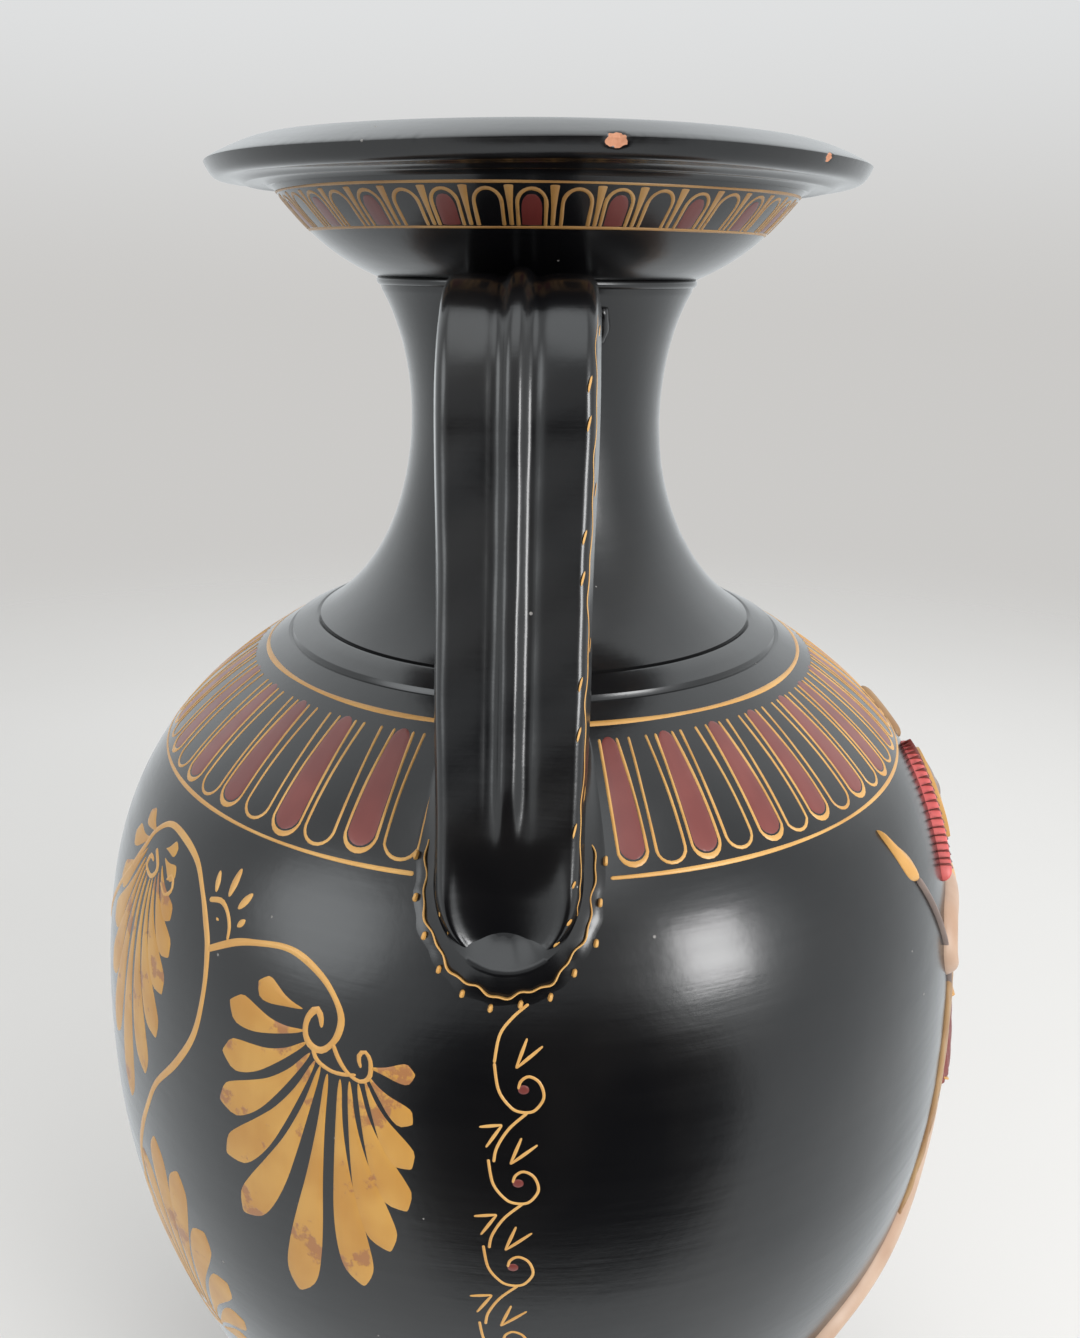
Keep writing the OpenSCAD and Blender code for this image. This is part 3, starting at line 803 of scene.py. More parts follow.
@dataclass
class StrapHandle:
    """A pulled strap handle with a rib between two grooves, and the clay worked round its ends."""

    palette: Palette
    side: Side
    width: float = 36.0
    shift: float = -0.8
    thick: float = 10.0
    reach: float = 94.0
    corner: float = 2.5
    rib: float = 1.6
    rib_off: float = -0.3
    groove: float = 0.55
    dish: float = 2.3
    root_low: float = 293.0
    stations: int = 200
    around: int = 132

    def name(self) -> str:
        """The handle's name, with its side."""
        return f"handle_{self.side.name.lower()}"

    def bearing(self) -> float:
        """Degrees round the pot of the handle's middle."""
        return 180.0 if self.side is Side.RIGHT else 0.0

    def line(self) -> np.ndarray:
        """Centre line as [reach, height], from the neck out, over and down to the shoulder."""
        root_r = float(POT.radius(self.root_low)) - 4
        bend = bezier([(36.0, 435.5), (62, 443), (self.reach - 3, 454.5), (self.reach, 414)], 60)
        drop = bezier([(self.reach, 414), (self.reach + 3, 385.5), (root_r - 12, 346.5),
                       (root_r, 289)], 90)
        path = np.vstack([bend, drop[1:]])
        run = along(path)
        s = np.concatenate([np.linspace(0, run[-1] - 26, self.stations - 60),
                            run[-1] - 26 + 22 * np.sin(np.linspace(0, np.pi / 2, 61)[1:])])
        return np.stack([np.interp(s, run, path[:, k]) for k in range(2)], -1)

    def surface(self, station: np.ndarray, turn: np.ndarray, lift: float = 0.0) -> np.ndarray:
        """Points of the strap by place along it and turn round its section.

        The section is a rectangle with round corners, a little narrower outside. Its outer face
        adds a flat-topped bell for the rib, takes one off each side for the grooves and bulges
        between. Near the root the width falls as a half circle, the rib sinks away and the face
        dishes like a spoon.

        Args:
            station: Share of the way along, 0 at the neck and 1 at the root.
            turn: Radians round the section, a quarter turn at the middle of the outer face.
            lift: Height over the surface.

        Returns:
            The points in millimetres.
        """
        path = self.line()
        way = unit(np.gradient(path, axis=0))
        k = np.asarray(station) * (len(path) - 1)
        index = np.arange(len(path))
        x, z, wx, wz = (np.interp(k, index, v) for v in (path[:, 0], path[:, 1], way[:, 0],
                                                         way[:, 1]))
        size = np.maximum(np.hypot(wx, wz), 1e-9)
        out = np.stack([-wz / size, wx / size], -1)
        low = self.root_low + self.width / 2
        near = np.clip((low - z) / (self.width / 2), 0, 1) * (station > 0.4)
        half = self.width / 2 * np.sqrt(np.maximum(1 - near**2, 0))
        half = half * (1 + 0.03 * np.clip((z - 375) / 50, -1, 1) + 0.008 * np.sin(z / 9.0))
        deep = self.thick / 2 * (1 - 0.16 * smooth(near)) * np.sqrt(np.maximum(1 - near**6, 0))
        cos, sin = np.cos(turn), np.sin(turn)
        fold = 1 - np.abs(np.mod(turn, np.pi) / (np.pi / 2) - 1)
        corner = np.minimum(np.minimum(self.corner, 0.7 * half), 0.66 * deep)
        bend = np.clip((fold - 0.1) / 0.24, 0, 1) * np.pi / 2
        flat = np.clip((fold - 0.34) / 0.66, 0, 1)
        y = np.sign(cos) * (half - corner + corner * np.cos(bend) - (half - corner) * flat)
        o = np.sign(sin) * ((deep - corner) * np.clip(fold / 0.1, 0, 1) + corner * np.sin(bend))
        y = y * (1 - 0.05 * o / np.maximum(deep, 0.01))
        share = y / np.maximum(half, 0.01)
        face = np.sin(bend) ** 2 * (sin > 0)
        at = y - self.rib_off
        low_end = smooth((self.root_low + 42 - z) / 18) * (station > 0.4)
        ribbed = face * (1 - low_end) * (1 + 0.08 * np.sin(z / 13.0))
        o = o + ribbed * (self.rib * np.exp(-((at / 2.5) ** 4)) - self.groove * (
            hump(np.abs(at), 4.6, 1.5)) + 0.12 * hump(np.abs(at), 10.5, 4.0))
        spoon = (smooth((self.root_low + 31 - z) / 15) * (station > 0.4)
                 * (1 - smooth((near - 0.62) / 0.34)))
        o = o + face * spoon * (0.7 * hump(np.abs(share), 0.84, 0.12)
                                - self.dish * np.maximum(1 - (share / 0.75) ** 2, 0))
        o = o + (0.10 * np.sin(z / 7.0 + y / 6.0) + 0.07 * np.sin(z / 3.1 - y / 4.0)) * face
        push = unit(np.stack([sin, cos], -1)) * lift
        o, y = o + push[..., 0], y + push[..., 1] + self.shift
        px, pz = x + out[..., 0] * o, z + out[..., 1] * o
        a = np.radians(self.side.value)
        return np.stack([px * np.cos(a) - y * np.sin(a), px * np.sin(a) + y * np.cos(a), pz], -1)

    def strap(self) -> bpy.types.Object:
        """The strap itself, closed at both ends inside the pot's wall."""
        station = np.linspace(0, 1, self.stations)[:, None]
        turn = np.linspace(0, 2 * np.pi, self.around, endpoint=False)[None, :]
        points = self.surface(station, turn + 0 * station)
        ends = [np.repeat(points[k].mean(0)[None, None], self.around, 1) for k in (0, -1)]
        clay = Clay(self.name())
        clay.grid(np.concatenate([ends[0], points, ends[1]]))
        return clay.piece(self.palette.black, "black_glaze", (self.name(),), 60.0)

    def gold_line(self) -> bpy.types.Object:
        """A fine wavering line with leaf dots down the side of the strap that faces the front."""
        towards = np.pi if self.side is Side.RIGHT else 0.0
        clay = Clay(f"{self.name()}_gold_line")
        sign = -1.0 if self.side is Side.RIGHT else 1.0
        s = np.linspace(0.2, 0.86, 190)
        wave = 0.05 * np.sin(s * 61) + 0.03 * np.sin(s * 143)
        self._thread(clay, s, towards + sign * (0.2 + wave), 0.6)
        leaf = np.linspace(0.21, 0.93, 17) + 0.008 * np.sin(np.arange(17) * 2.3)
        for k, at in enumerate(leaf):
            run = at + np.linspace(-0.007, 0.007, 7)
            aside = 0.40 if k % 3 else 0.02
            self._thread(clay, run, towards + sign * (aside + np.linspace(-0.04, 0.04, 7)), 1.5)
        for at in np.linspace(0.78, 0.92, 4):
            run = at + np.linspace(-0.005, 0.005, 7)
            self._thread(clay, run, np.pi - towards + sign * np.linspace(-0.33, -0.25, 7), 1.3)
        return clay.piece(self.palette.ochre, "ochre_paint", (), 60.0)

    def _thread(self, clay: Clay, station: np.ndarray, turn: np.ndarray, width: float) -> None:
        """A raised thread on the strap's surface: a flat oval section along a path."""
        at = self.surface(station, turn)
        out = unit(self.surface(station, turn, 1.0) - at)
        way = unit(np.gradient(at, axis=0))
        cross = unit(np.cross(way, out))
        b = np.linspace(0, 2 * np.pi, 8, endpoint=False)
        swell = np.sin(np.linspace(0, np.pi, len(station))) ** 0.35
        swell[[0, -1]] = 0
        oval = (cross[:, None] * (np.cos(b) * width / 2)[None, :, None]
                + out[:, None] * (np.sin(b) * 0.14)[None, :, None])
        clay.grid(at[:, None] + oval * swell[:, None, None])

    def root_luting(self) -> bpy.types.Object:
        """Clay smeared round the root: a ragged, rounded skirt in a U on the shoulder."""
        name = f"{self.name()}_root_luting"
        brush = Brush(name, 2.7)
        base = self.bearing()
        wide = self.width / 2 - 0.6
        turn = np.radians(np.linspace(0, -180, 29))
        z0 = self.root_low + self.width / 2
        across = np.concatenate([[wide] * 4, wide * np.cos(turn), [-wide] * 4])
        z = np.concatenate([z0 + np.array([27, 20, 13, 6]), z0 + wide * np.sin(turn),
                            z0 + np.array([6, 13, 20, 27])])
        k = np.arange(len(z))
        broad = 11.0 + 0.7 * np.sin(k * 2.1 + base) + 0.5 * np.sin(k * 0.9 + 1)
        broad[4:-4] += 5.0 * np.sin(-turn) ** 2
        broad[[0, 1, 2, -1, -2, -3]] = 2.5, 5.5, 8.5, 2.5, 5.5, 8.5
        across = across + self.shift
        angle = base + np.degrees(np.arcsin(across / POT.radius(z)))
        brush.stroke(np.stack([angle, z, broad], -1), steps=4, across=17, step=0.9, low=1.2,
                     cove=True)
        return brush.clay.piece(self.palette.black, "black_glaze", (name,), 60.0)

    def top_luting(self) -> bpy.types.Object:
        """Clay worked round the strap where it leaves the neck, as a low rounded collar."""
        name = f"{self.name()}_top_luting"
        brush = Brush(name, 1.7)
        base = self.bearing()
        wide, tall = self.width / 2 + 0.8, self.thick / 2 + 1.2
        turn = np.radians(np.linspace(20, -200, 41))
        y = wide * np.sign(np.cos(turn)) * np.abs(np.cos(turn)) ** 0.4
        z = 436.0 + tall * np.sign(np.sin(turn)) * np.abs(np.sin(turn)) ** 0.5
        angle = base + np.degrees(np.arcsin(y / POT.radius(z)))
        width = 4.6 + 0.7 * np.sin(np.arange(41) * 1.7)
        brush.stroke(np.stack([angle, z, width], -1), steps=3, across=9, step=1.0, fullness=2.0,
                     low=1.2)
        return brush.clay.piece(self.palette.black, "black_glaze", (name,), 60.0)

    def build(self) -> None:
        """Makes the strap, its clay and its gold line."""
        self.strap()
        self.root_luting()
        self.top_luting()
        self.gold_line()


# ---- Painted ornament --------------------------------------------------------------------------


@dataclass
class TongueBand:
    """The ring of upright tongues on the shoulder, red and black in turn, outlined in ochre."""

    palette: Palette
    top: float = 336.2
    bottom: float = 313.6
    line: float = 0.75
    spans: tuple = ((14.8, 165.2, 30, 1), (-14.4, -165.6, 26, 0))

    def build(self) -> None:
        """Lays the red fills, the outlines and the two bounding lines."""
        rng = np.random.default_rng(7)
        red, ochre = Brush("shoulder_tongues_red", 0.10), Brush("shoulder_tongues_outline", 0.20)
        for first, last, count, black in self.spans:
            pitch = abs(last - first) / count
            for k in range(count + 1):
                centre = first + (last - first) * k / count + rng.uniform(-0.22, 0.22)
                self.tongue(red if k % 2 != black else None, ochre, centre, pitch, rng)
            reach = 11.7 if first > 0 else -11.9
            ends = np.linspace(reach, (180 if first > 0 else -180) - reach, 90)
            sway = 0.25 * np.sin(np.radians(ends) * 5)
            for z, width in ((338.7, 1.35), (self.bottom - 2.0, 1.0)):
                thick = width * (1 + 0.2 * np.sin(np.radians(ends) * 9 + z))
                ochre.stroke(np.stack([ends, z + sway * 0.6, thick], -1), steps=2, step=2.4)
        red.clay.piece(self.palette.maroon, "maroon_paint")
        ochre.clay.piece(self.palette.ochre, "ochre_paint")

    def tongue(self, red: Optional[Brush], ochre: Brush, centre: float, pitch: float,
               rng: np.random.Generator) -> None:
        """One tongue: straight sides that open with the shoulder, and a round lower end.

        Args:
            red: Brush for the fill, or None on a black tongue.
            ochre: Brush for the outline.
            centre: Its middle, in degrees.
            pitch: Degrees between tongues.
            rng: Source of the hand's unevenness.
        """
        lean = rng.uniform(-0.12, 0.12)
        low = self.bottom + rng.uniform(-0.35, 0.45)
        half = pitch * (0.385 + rng.uniform(-0.015, 0.015))
        turn = np.radians(np.linspace(0, 180, 9))
        drop = half * np.radians(1) * 112 * 0.75
        z = np.concatenate([[self.top, self.top - 5, self.top - 11],
                            low + drop - drop * np.sin(turn),
                            [self.top - 11, self.top - 5, self.top]])
        side = np.concatenate([[0.80, 0.90, 0.985], np.cos(turn), [-0.985, -0.90, -0.80]])
        sway = lean * (self.top - z) / 20
        thick = np.full(len(z), self.line) * (1 + rng.uniform(-0.12, 0.12, len(z)))
        thick += (0.75 if red else 0.15) * np.concatenate([[0] * 3, np.sin(turn) ** 2, [0] * 3])
        ochre.stroke(np.stack([centre + sway + half * side, z, thick], -1), steps=4, step=1.3,
                     across=4)
        if red:
            rows = np.array([(self.top + 0.3, 0.68), (self.top - 5, 0.78), (self.top - 11, 0.86),
                             (low + drop, 0.87), (low + 0.9, 0.80)])
            wide = 2 * half * rows[:, 1] * np.radians(1) * POT.radius(rows[:, 0])
            middle = centre + lean * (self.top - rows[:, 0]) / 20
            red.stroke(np.stack([middle, rows[:, 0], wide], -1), steps=5, step=1.2, across=9,
                       fullness=8)


@dataclass
class ArchBand:
    """The ring of small arches under the lip, red and black in turn, with ochre wedges between."""

    palette: Palette
    count: int = 42
    low: float = 459.1
    high: float = 467.2
    fill: float = 0.235
    outline: float = 0.325
    wedge: float = 2.3

    def build(self) -> None:
        """Lays the fills, the arch outlines, the wedges and the bounding lines."""
        rng = np.random.default_rng(11)
        red, ochre = Brush("mouth_arches_red", 0.08), Brush("mouth_arches_outline", 0.16)
        pitch = 360 / self.count
        for k in range(self.count):
            centre = 1.2 + k * pitch + rng.uniform(-0.25, 0.25)
            turn = np.radians(np.linspace(0, 180, 9))
            crown = self.high - 3.6 + rng.uniform(-0.15, 0.15)
            z = np.concatenate([[self.low - 0.3, self.low + 2.0], crown + 3.1 * np.sin(turn),
                                [self.low + 2.0, self.low - 0.3]])
            side = np.concatenate([[1.0, 1.0], np.cos(turn), [-1.0, -1.0]])
            half = pitch * self.outline * (1 + rng.uniform(-0.03, 0.03))
            thick = 0.95 * (1 + rng.uniform(-0.12, 0.12, len(z)))
            ochre.stroke(np.stack([centre + half * side, z, thick], -1), steps=3, step=0.9,
                         across=4, cap=0.3)
            if k % 2 == 0:
                t = np.array([0, 0.3, 0.55, 0.72, 0.85, 0.94, 0.99])
                rows = self.low - 0.2 + t * (crown + 2.2 - self.low)
                wide = 2 * pitch * self.fill * np.radians(1) * POT.radius(rows)
                wide = wide * np.sqrt(1 - np.clip((t - 0.55) / 0.46, 0, 0.98) ** 2)
                red.stroke(np.stack([centre + 0 * wide, rows, wide], -1), steps=3, step=0.7,
                           across=7, fullness=8, cap=0.3)
            edge = centre + pitch / 2
            ochre.stroke([(edge, self.high + 0.3, self.wedge),
                          (edge, self.high - 2, self.wedge * 0.74),
                          (edge, self.low + 3, self.wedge * 0.5),
                          (edge, self.low - 0.2, self.wedge * 0.46)],
                         steps=4, step=0.9, across=5, fullness=6, cap=0.3)
        for z, width in ((468.1, 0.75), (458.5, 0.85)):
            ochre.ring(z, width, 0.06, z)
        # The arches take the darker ochre and maroon: painted shade for the lip's shadow over the cup.
        red.clay.piece(self.palette.mouth_red_painted_shade, "maroon_paint")
        ochre.clay.piece(self.palette.mouth_ochre_painted_shade, "ochre_paint")


@dataclass(frozen=True)
class Palmette:
    """One palmette: a heart, and petals given as [root x, root y, tip x, tip y, width, bend]."""

    angle: float
    z: float
    petals: tuple

    def lay(self, brush: Brush, mirror: bool) -> None:
        """Lays its petals as drops that widen from a thin root to a rounded, slightly pointed end.

        Args:
            brush: Brush for the petals.
            mirror: Whether it stands mirrored about the middle of the back.
        """
        for x0, z0, x1, z1, wide, bend in self.petals:
            root, tip = np.array([x0, z0], float), np.array([x1, z1], float)
            span = tip - root
            bow = np.array([span[1], -span[0]]) * bend
            t = np.array([0, 0.2, 0.42, 0.62, 0.78, 0.9, 1.0])[:, None]
            xy = root * (1 - t) ** 2 + (root + span * 0.5 + bow) * 2 * t * (1 - t) + tip * t**2
            width = wide * np.array([0.12, 0.22, 0.48, 0.82, 1.0, 0.93, 0.36])
            z = self.z + xy[:, 1]
            angle = self.angle + np.degrees(xy[:, 0] / POT.radius(z))
            angle = -180 - angle if mirror else angle
            brush.stroke(np.stack([angle, z, width], -1), steps=6, step=1.3, across=7, fullness=7)


@dataclass
class PalmetteScroll:
    """The back's ornament: palmettes hung on a stem that coils, the same on both sides."""

    palette: Palette
    palmettes: tuple = (
        Palmette(-18.1, 267.3, (
            (-10, 11.5, -24, 14.5, 6.5, -0.10), (-9, 6.5, -33, 7, 8.0, -0.16),
            (-8, 4, -35, -7, 8.5, -0.16),
            (-7, 1.5, -36, -21, 9.0, -0.15), (-5.5, 0, -34, -36, 9.0, -0.13),
            (-4, -1, -29, -52, 9.4, -0.10),
            (-2, -2.5, -12, -70, 9.6, -0.03), (1.5, -3, 7.5, -61, 9.0, 0.06),
            (4, -3, 15, -48, 8.6, 0.09),
            (6.3, -3, 19.5, -35, 8.2, 0.11), (8, -2, 20.5, -23, 7.2, 0.10),
            (8.6, -0.5, 20.5, -11, 5.6, 0.10),
            (8.6, 1.5, 20.5, 1.5, 5.2, 0.06))),
        Palmette(-54.1, 293.0, (
            (-3, 6, -14, 8, 5.5, -0.10), (-5, 4, -20, 0, 6.5, -0.14), (-5, 1, -22, -14, 8.0, -0.14),
            (-4, -1, -23, -28, 8.4, -0.12), (-3, -2, -21, -43, 9.0, -0.10),
            (-1.5, -3, -15, -60, 9.4, -0.06),
            (0.5, -4, -1, -74, 9.4, 0.0), (3, -4, 13, -58, 9.0, 0.07),
            (4.5, -3.5, 20, -43, 8.6, 0.10),
            (6, -2.5, 22, -29, 8.2, 0.12), (7, -1, 23, -18, 7.2, 0.12), (7.5, 1, 20, -9, 6.0, 0.1),
            (7.5, 3, 16, 1, 5.0, 0.08), (6, 5, 12, 7, 4.6, 0.06))),
        Palmette(-45.8, 150.0, (
            (7, -2, 25, 6, 7.0, -0.10), (7, 0, 27, 18, 8.0, -0.12), (6, 2, 25, 32, 8.6, -0.12),
            (4, 3, 19, 47, 9.2, -0.09), (2, 4, 9, 62, 9.6, -0.04), (-1, 4, -4, 66, 9.4, 0.02),
            (-3, 3.5, -16, 54, 9.0, 0.07), (-5, 2.5, -24, 39, 8.6, 0.10),
            (-6.5, 1, -28, 24, 8.0, 0.12),
            (-7, -1, -28, 11, 7.0, 0.12), (-7, -3, -24, 1, 6.0, 0.1))),
        Palmette(-90.0, 262.0, (
            (5, 0, 22, 3, 6.5, -0.1), (5, 2, 22, 16, 7.5, -0.12), (3.5, 3, 17, 29, 8.4, -0.1),
            (1.8, 4, 9, 39, 9.0, -0.05), (0, 4, 0, 43, 9.4, 0.0), (-1.8, 4, -9, 39, 9.0, 0.05),
            (-3.5, 3, -17, 29, 8.4, 0.1), (-5, 2, -22, 16, 7.5, 0.12), (-5, 0, -22, 3, 6.5, 0.1))),
        Palmette(-90.0, 232.0, (
            (5, 0, 22, -4, 6.5, 0.1), (5, -2, 24, -18, 8.0, 0.12), (4, -3, 20, -35, 8.8, 0.1),
            (2, -4, 11, -50, 9.4, 0.05), (0, -4, 0, -56, 9.8, 0.0), (-2, -4, -11, -50, 9.4, -0.05),
            (-4, -3, -20, -35, 8.8, -0.1), (-5, -2, -24, -18, 8.0, -0.12),
            (-5, 0, -22, -4, 6.5, -0.1))),
    )
    stems: tuple = (
        (1.9, ((-59.8, 286), (-57.7, 293), (-56.1, 299), (-52.8, 303.2), (-47.9, 303),
               (-43.5, 300.4),
               (-40.5, 295), (-38.6, 289.6), (-37.2, 283.4), (-36.7, 273), (-37.8, 260),
               (-41.1, 248),
               (-45.7, 236), (-48.5, 225), (-51.3, 213), (-53.9, 198), (-53.9, 182), (-50.8, 166),
               (-46.8, 156))),
        (1.7, ((-37.1, 283.5), (-33.1, 288), (-29.8, 290), (-26.1, 291.2), (-23.3, 290.2),
               (-20.5, 287),
               (-18.7, 283), (-17.8, 279), (-18, 275), (-18.8, 272), (-19.9, 270.1), (-21.2, 270.8),
               (-21.9, 273.6), (-21.7, 277.2), (-20.8, 279.6), (-20.2, 278.2), (-20, 275.6))),
        (1.1, ((-20.9, 270.8), (-20.3, 267.6), (-18.7, 265.8), (-17.2, 265.6), (-15.7, 266.2))),
        (1.1, ((-18.5, 272.4), (-17.7, 269), (-16.6, 266.2), (-15.2, 264.8), (-14.2, 266.4),
               (-14.2, 270.4), (-14.9, 272.4), (-15.5, 270.8), (-15.2, 268.2))),
        (1.3, ((-38.9, 294.4), (-36.9, 295.4), (-35.5, 294), (-34.5, 291), (-34.3, 287.6))),
        (1.4, ((-53.8, 296), (-51.7, 292.5), (-52.7, 289.4), (-54.9, 290.4), (-54.7, 293.4),
               (-53.3, 293))),
        (1.2, ((-49.7, 290.5), (-47.9, 288.6), (-46.7, 291), (-47.5, 294), (-48.5, 292))),
        (1.5, ((-49.9, 152), (-48.1, 147), (-45.3, 146), (-43.1, 149), (-44.5, 153), (-46.5, 151))),
        (1.8, ((-59.8, 286), (-67.3, 268), (-73.3, 254), (-80.3, 246.5), (-90, 247.2))),
    )
    leaves: tuple = (
        (-38.2, 296.6, -38.7, 301.4, 1.7), (-35.9, 297.0, -35.3, 303.8, 2.0),
        (-33.9, 295.4, -32.3, 299.8, 1.9), (-33.3, 291.6, -32.3, 293.8, 1.6),
        (-36.7, 290.8, -36.6, 291.5, 1.2))

    def build(self) -> None:
        """Lays the petals, stems and leaves, then the same mirrored about the back's middle."""
        petals, stems = Brush("palmette_petals", 0.16), Brush("palmette_stems", 0.20)
        for mirror in (False, True):
            for palmette in self.palmettes:
                if not (mirror and palmette.angle == -90.0):
                    palmette.lay(petals, mirror)
            for width, path in self.stems:
                rows = np.array([(a, z, width) for a, z in path])
                rows[:, 2] *= 1 + 0.14 * np.sin(np.arange(len(rows)) * 1.9)
                rows[-1, 2] *= 0.6
                rows[:, 0] = -180 - rows[:, 0] if mirror else rows[:, 0]
                stems.stroke(rows, steps=7, step=1.2)
            for a0, z0, a1, z1, width in self.leaves:
                rows = np.array([(a0, z0, width * 0.5), ((a0 + a1) / 2, (z0 + z1) / 2, width * 1.1),
                                 (a1, z1, width * 0.5)])
                rows[:, 0] = -180 - rows[:, 0] if mirror else rows[:, 0]
                stems.stroke(rows, steps=4, step=0.6)
        petals.clay.piece(self.palette.gold, "ochre_paint")
        stems.clay.piece(self.palette.ochre, "ochre_paint")


@dataclass
class HandleVine:
    """Under each handle: a fine curling vine with leaves and berries, and the root's gold line."""

    palette: Palette
    top: float = 287.0
    pitch: float = 24.2
    turns: int = 6
    line: float = 0.72
    lean: float = 0.7

    def build(self) -> None:
        """Lays the vine, its leaves and berries, and the line round the handle's root."""
        gold, berry = Brush("vine_lines", 0.14), Brush("vine_berries", 0.2)
        for base in (0.0, 180.0):
            self.root_line(gold, base)
            hung = base + self.lean
            gold.stroke(self.rows(hung, ((1.4, 287), (-0.2, 284), (-1.5, 280), (-2.0, 273.5))),
                        step=0.8)
            for turn in range(self.turns):
                self.curl(gold, berry, hung, turn)
        gold.clay.piece(self.palette.ochre, "ochre_paint")
        berry.clay.piece(self.palette.maroon, "maroon_paint")

    def rows(self, base: float, path: tuple, width: float = 0.0) -> np.ndarray:
        """A path of (angle, height) about a handle as stroke rows."""
        return np.array([(base + a, z, width or self.line) for a, z in path])

    def curl(self, gold: Brush, berry: Brush, base: float, turn: int) -> None:
        """One turn of the vine: a hook that coils round a berry, and its leaves.

        Args:
            gold: Brush for lines and leaves.
            berry: Brush for the berry.
            base: Where the handle stands, in degrees.
            turn: Number of the turn, from the top.
        """
        drop, drift = self.pitch * turn, -0.45 * turn
        hook = ((-2.0, 273.5), (-1.5, 267), (-0.3, 263), (0.7, 261.8), (2.0, 262), (2.9, 264.5),
                (3.0, 266.7), (2.5, 269.3), (1.5, 270.5), (0.7, 269.3), (0.5, 267.4))
        gold.stroke(self.rows(base, [(a + drift, z - drop) for a, z in hook]), step=0.7)
        if turn + 1 < self.turns:
            link = ((1.4, 261.6), (-0.4, 257.5), (-1.6, 252.5), (-1.9, 248.6))
            gold.stroke(self.rows(base, [(a + drift * 0.9, z - drop) for a, z in link]), step=0.7)
        berry.stroke([(base + 1.0 + drift, 266.2 - drop, 2.6),
                      (base + 1.0 + drift, 268.4 - drop, 2.6)],
                     step=0.5, across=9, fullness=2.5)
        for a0, z0, a1, z1 in ((0.2, 272.4, 2.9, 277.6), (0.2, 272.4, 1.3, 279.4),
                               (-3.4, 257.6, -1.1, 258.4),
                               (-1.1, 258.4, -2.7, 252.4)):
            a0, a1 = a0 + drift, a1 + drift
            gold.stroke([(base + a0, z0 - drop, 0.5),
                         (base + (a0 + a1) / 2, (z0 + z1) / 2 - drop, 0.85),
                         (base + a1, z1 - drop, 0.5)], steps=4, step=0.5)

    def root_line(self, gold: Brush, base: float) -> None:
        """The fine line round the root, wavering over the luting, with leaf dots outside it."""
        turn = np.radians(np.linspace(18, -198, 73))
        sway = 0.5 * np.sin(np.arange(73) * 0.55) + 0.3 * np.sin(np.arange(73) * 1.3)
        across = -0.8 + (20.2 + sway) * np.cos(turn)
        z = 311.0 + (22.4 + sway) * np.sin(turn)
        angle = base + np.degrees(np.arcsin(across / POT.radius(z)))
        gold.stroke(np.stack([angle, z, np.full(73, 0.62)], -1), lift=1.35, steps=2, step=0.7,
                    low=0.1)
        for k in range(3, 71, 6):
            out = (20.2 + (2.4 if k % 4 else -1.9)) / 20.2
            x = -0.8 + (across[k] + 0.8) * out
            up = 311.0 + (z[k] - 311.0) * out
            a = base + float(np.degrees(np.arcsin(x / POT.radius(up))))
            gold.stroke([(a, up - 0.9, 1.3), (a + 0.2, up + 0.9, 1.1)], lift=1.3 if k % 4 else 2.3,
                        step=0.5, low=0.1)


@dataclass
class LowerLines:
    """The plain bands of the lower body: the ground lines and the rays above the foot."""

    palette: Palette
    rays: int = 22

    def build(self) -> None:
        """Lays the lines and the rays."""
        lines, rays = Brush("lower_lines", 0.16), Brush("foot_rays", 0.14)
        for z, width in ((104.5, 1.5), (99.8, 0.9), (34.0, 1.4)):
            lines.ring(z, width, 0.15, z)
        for k in range(self.rays):
            a = k * 360 / self.rays
            rays.stroke([(a, 37.5, 9.5), (a, 52, 6.8), (a, 70, 3.4), (a, 84, 0.8)], steps=5,
                        step=1.8,
                        across=7, fullness=7)
        lines.clay.piece(self.palette.ochre, "ochre_paint")
        rays.clay.piece(self.palette.maroon, "maroon_paint")


# ---- The relief --------------------------------------------------------------------------------


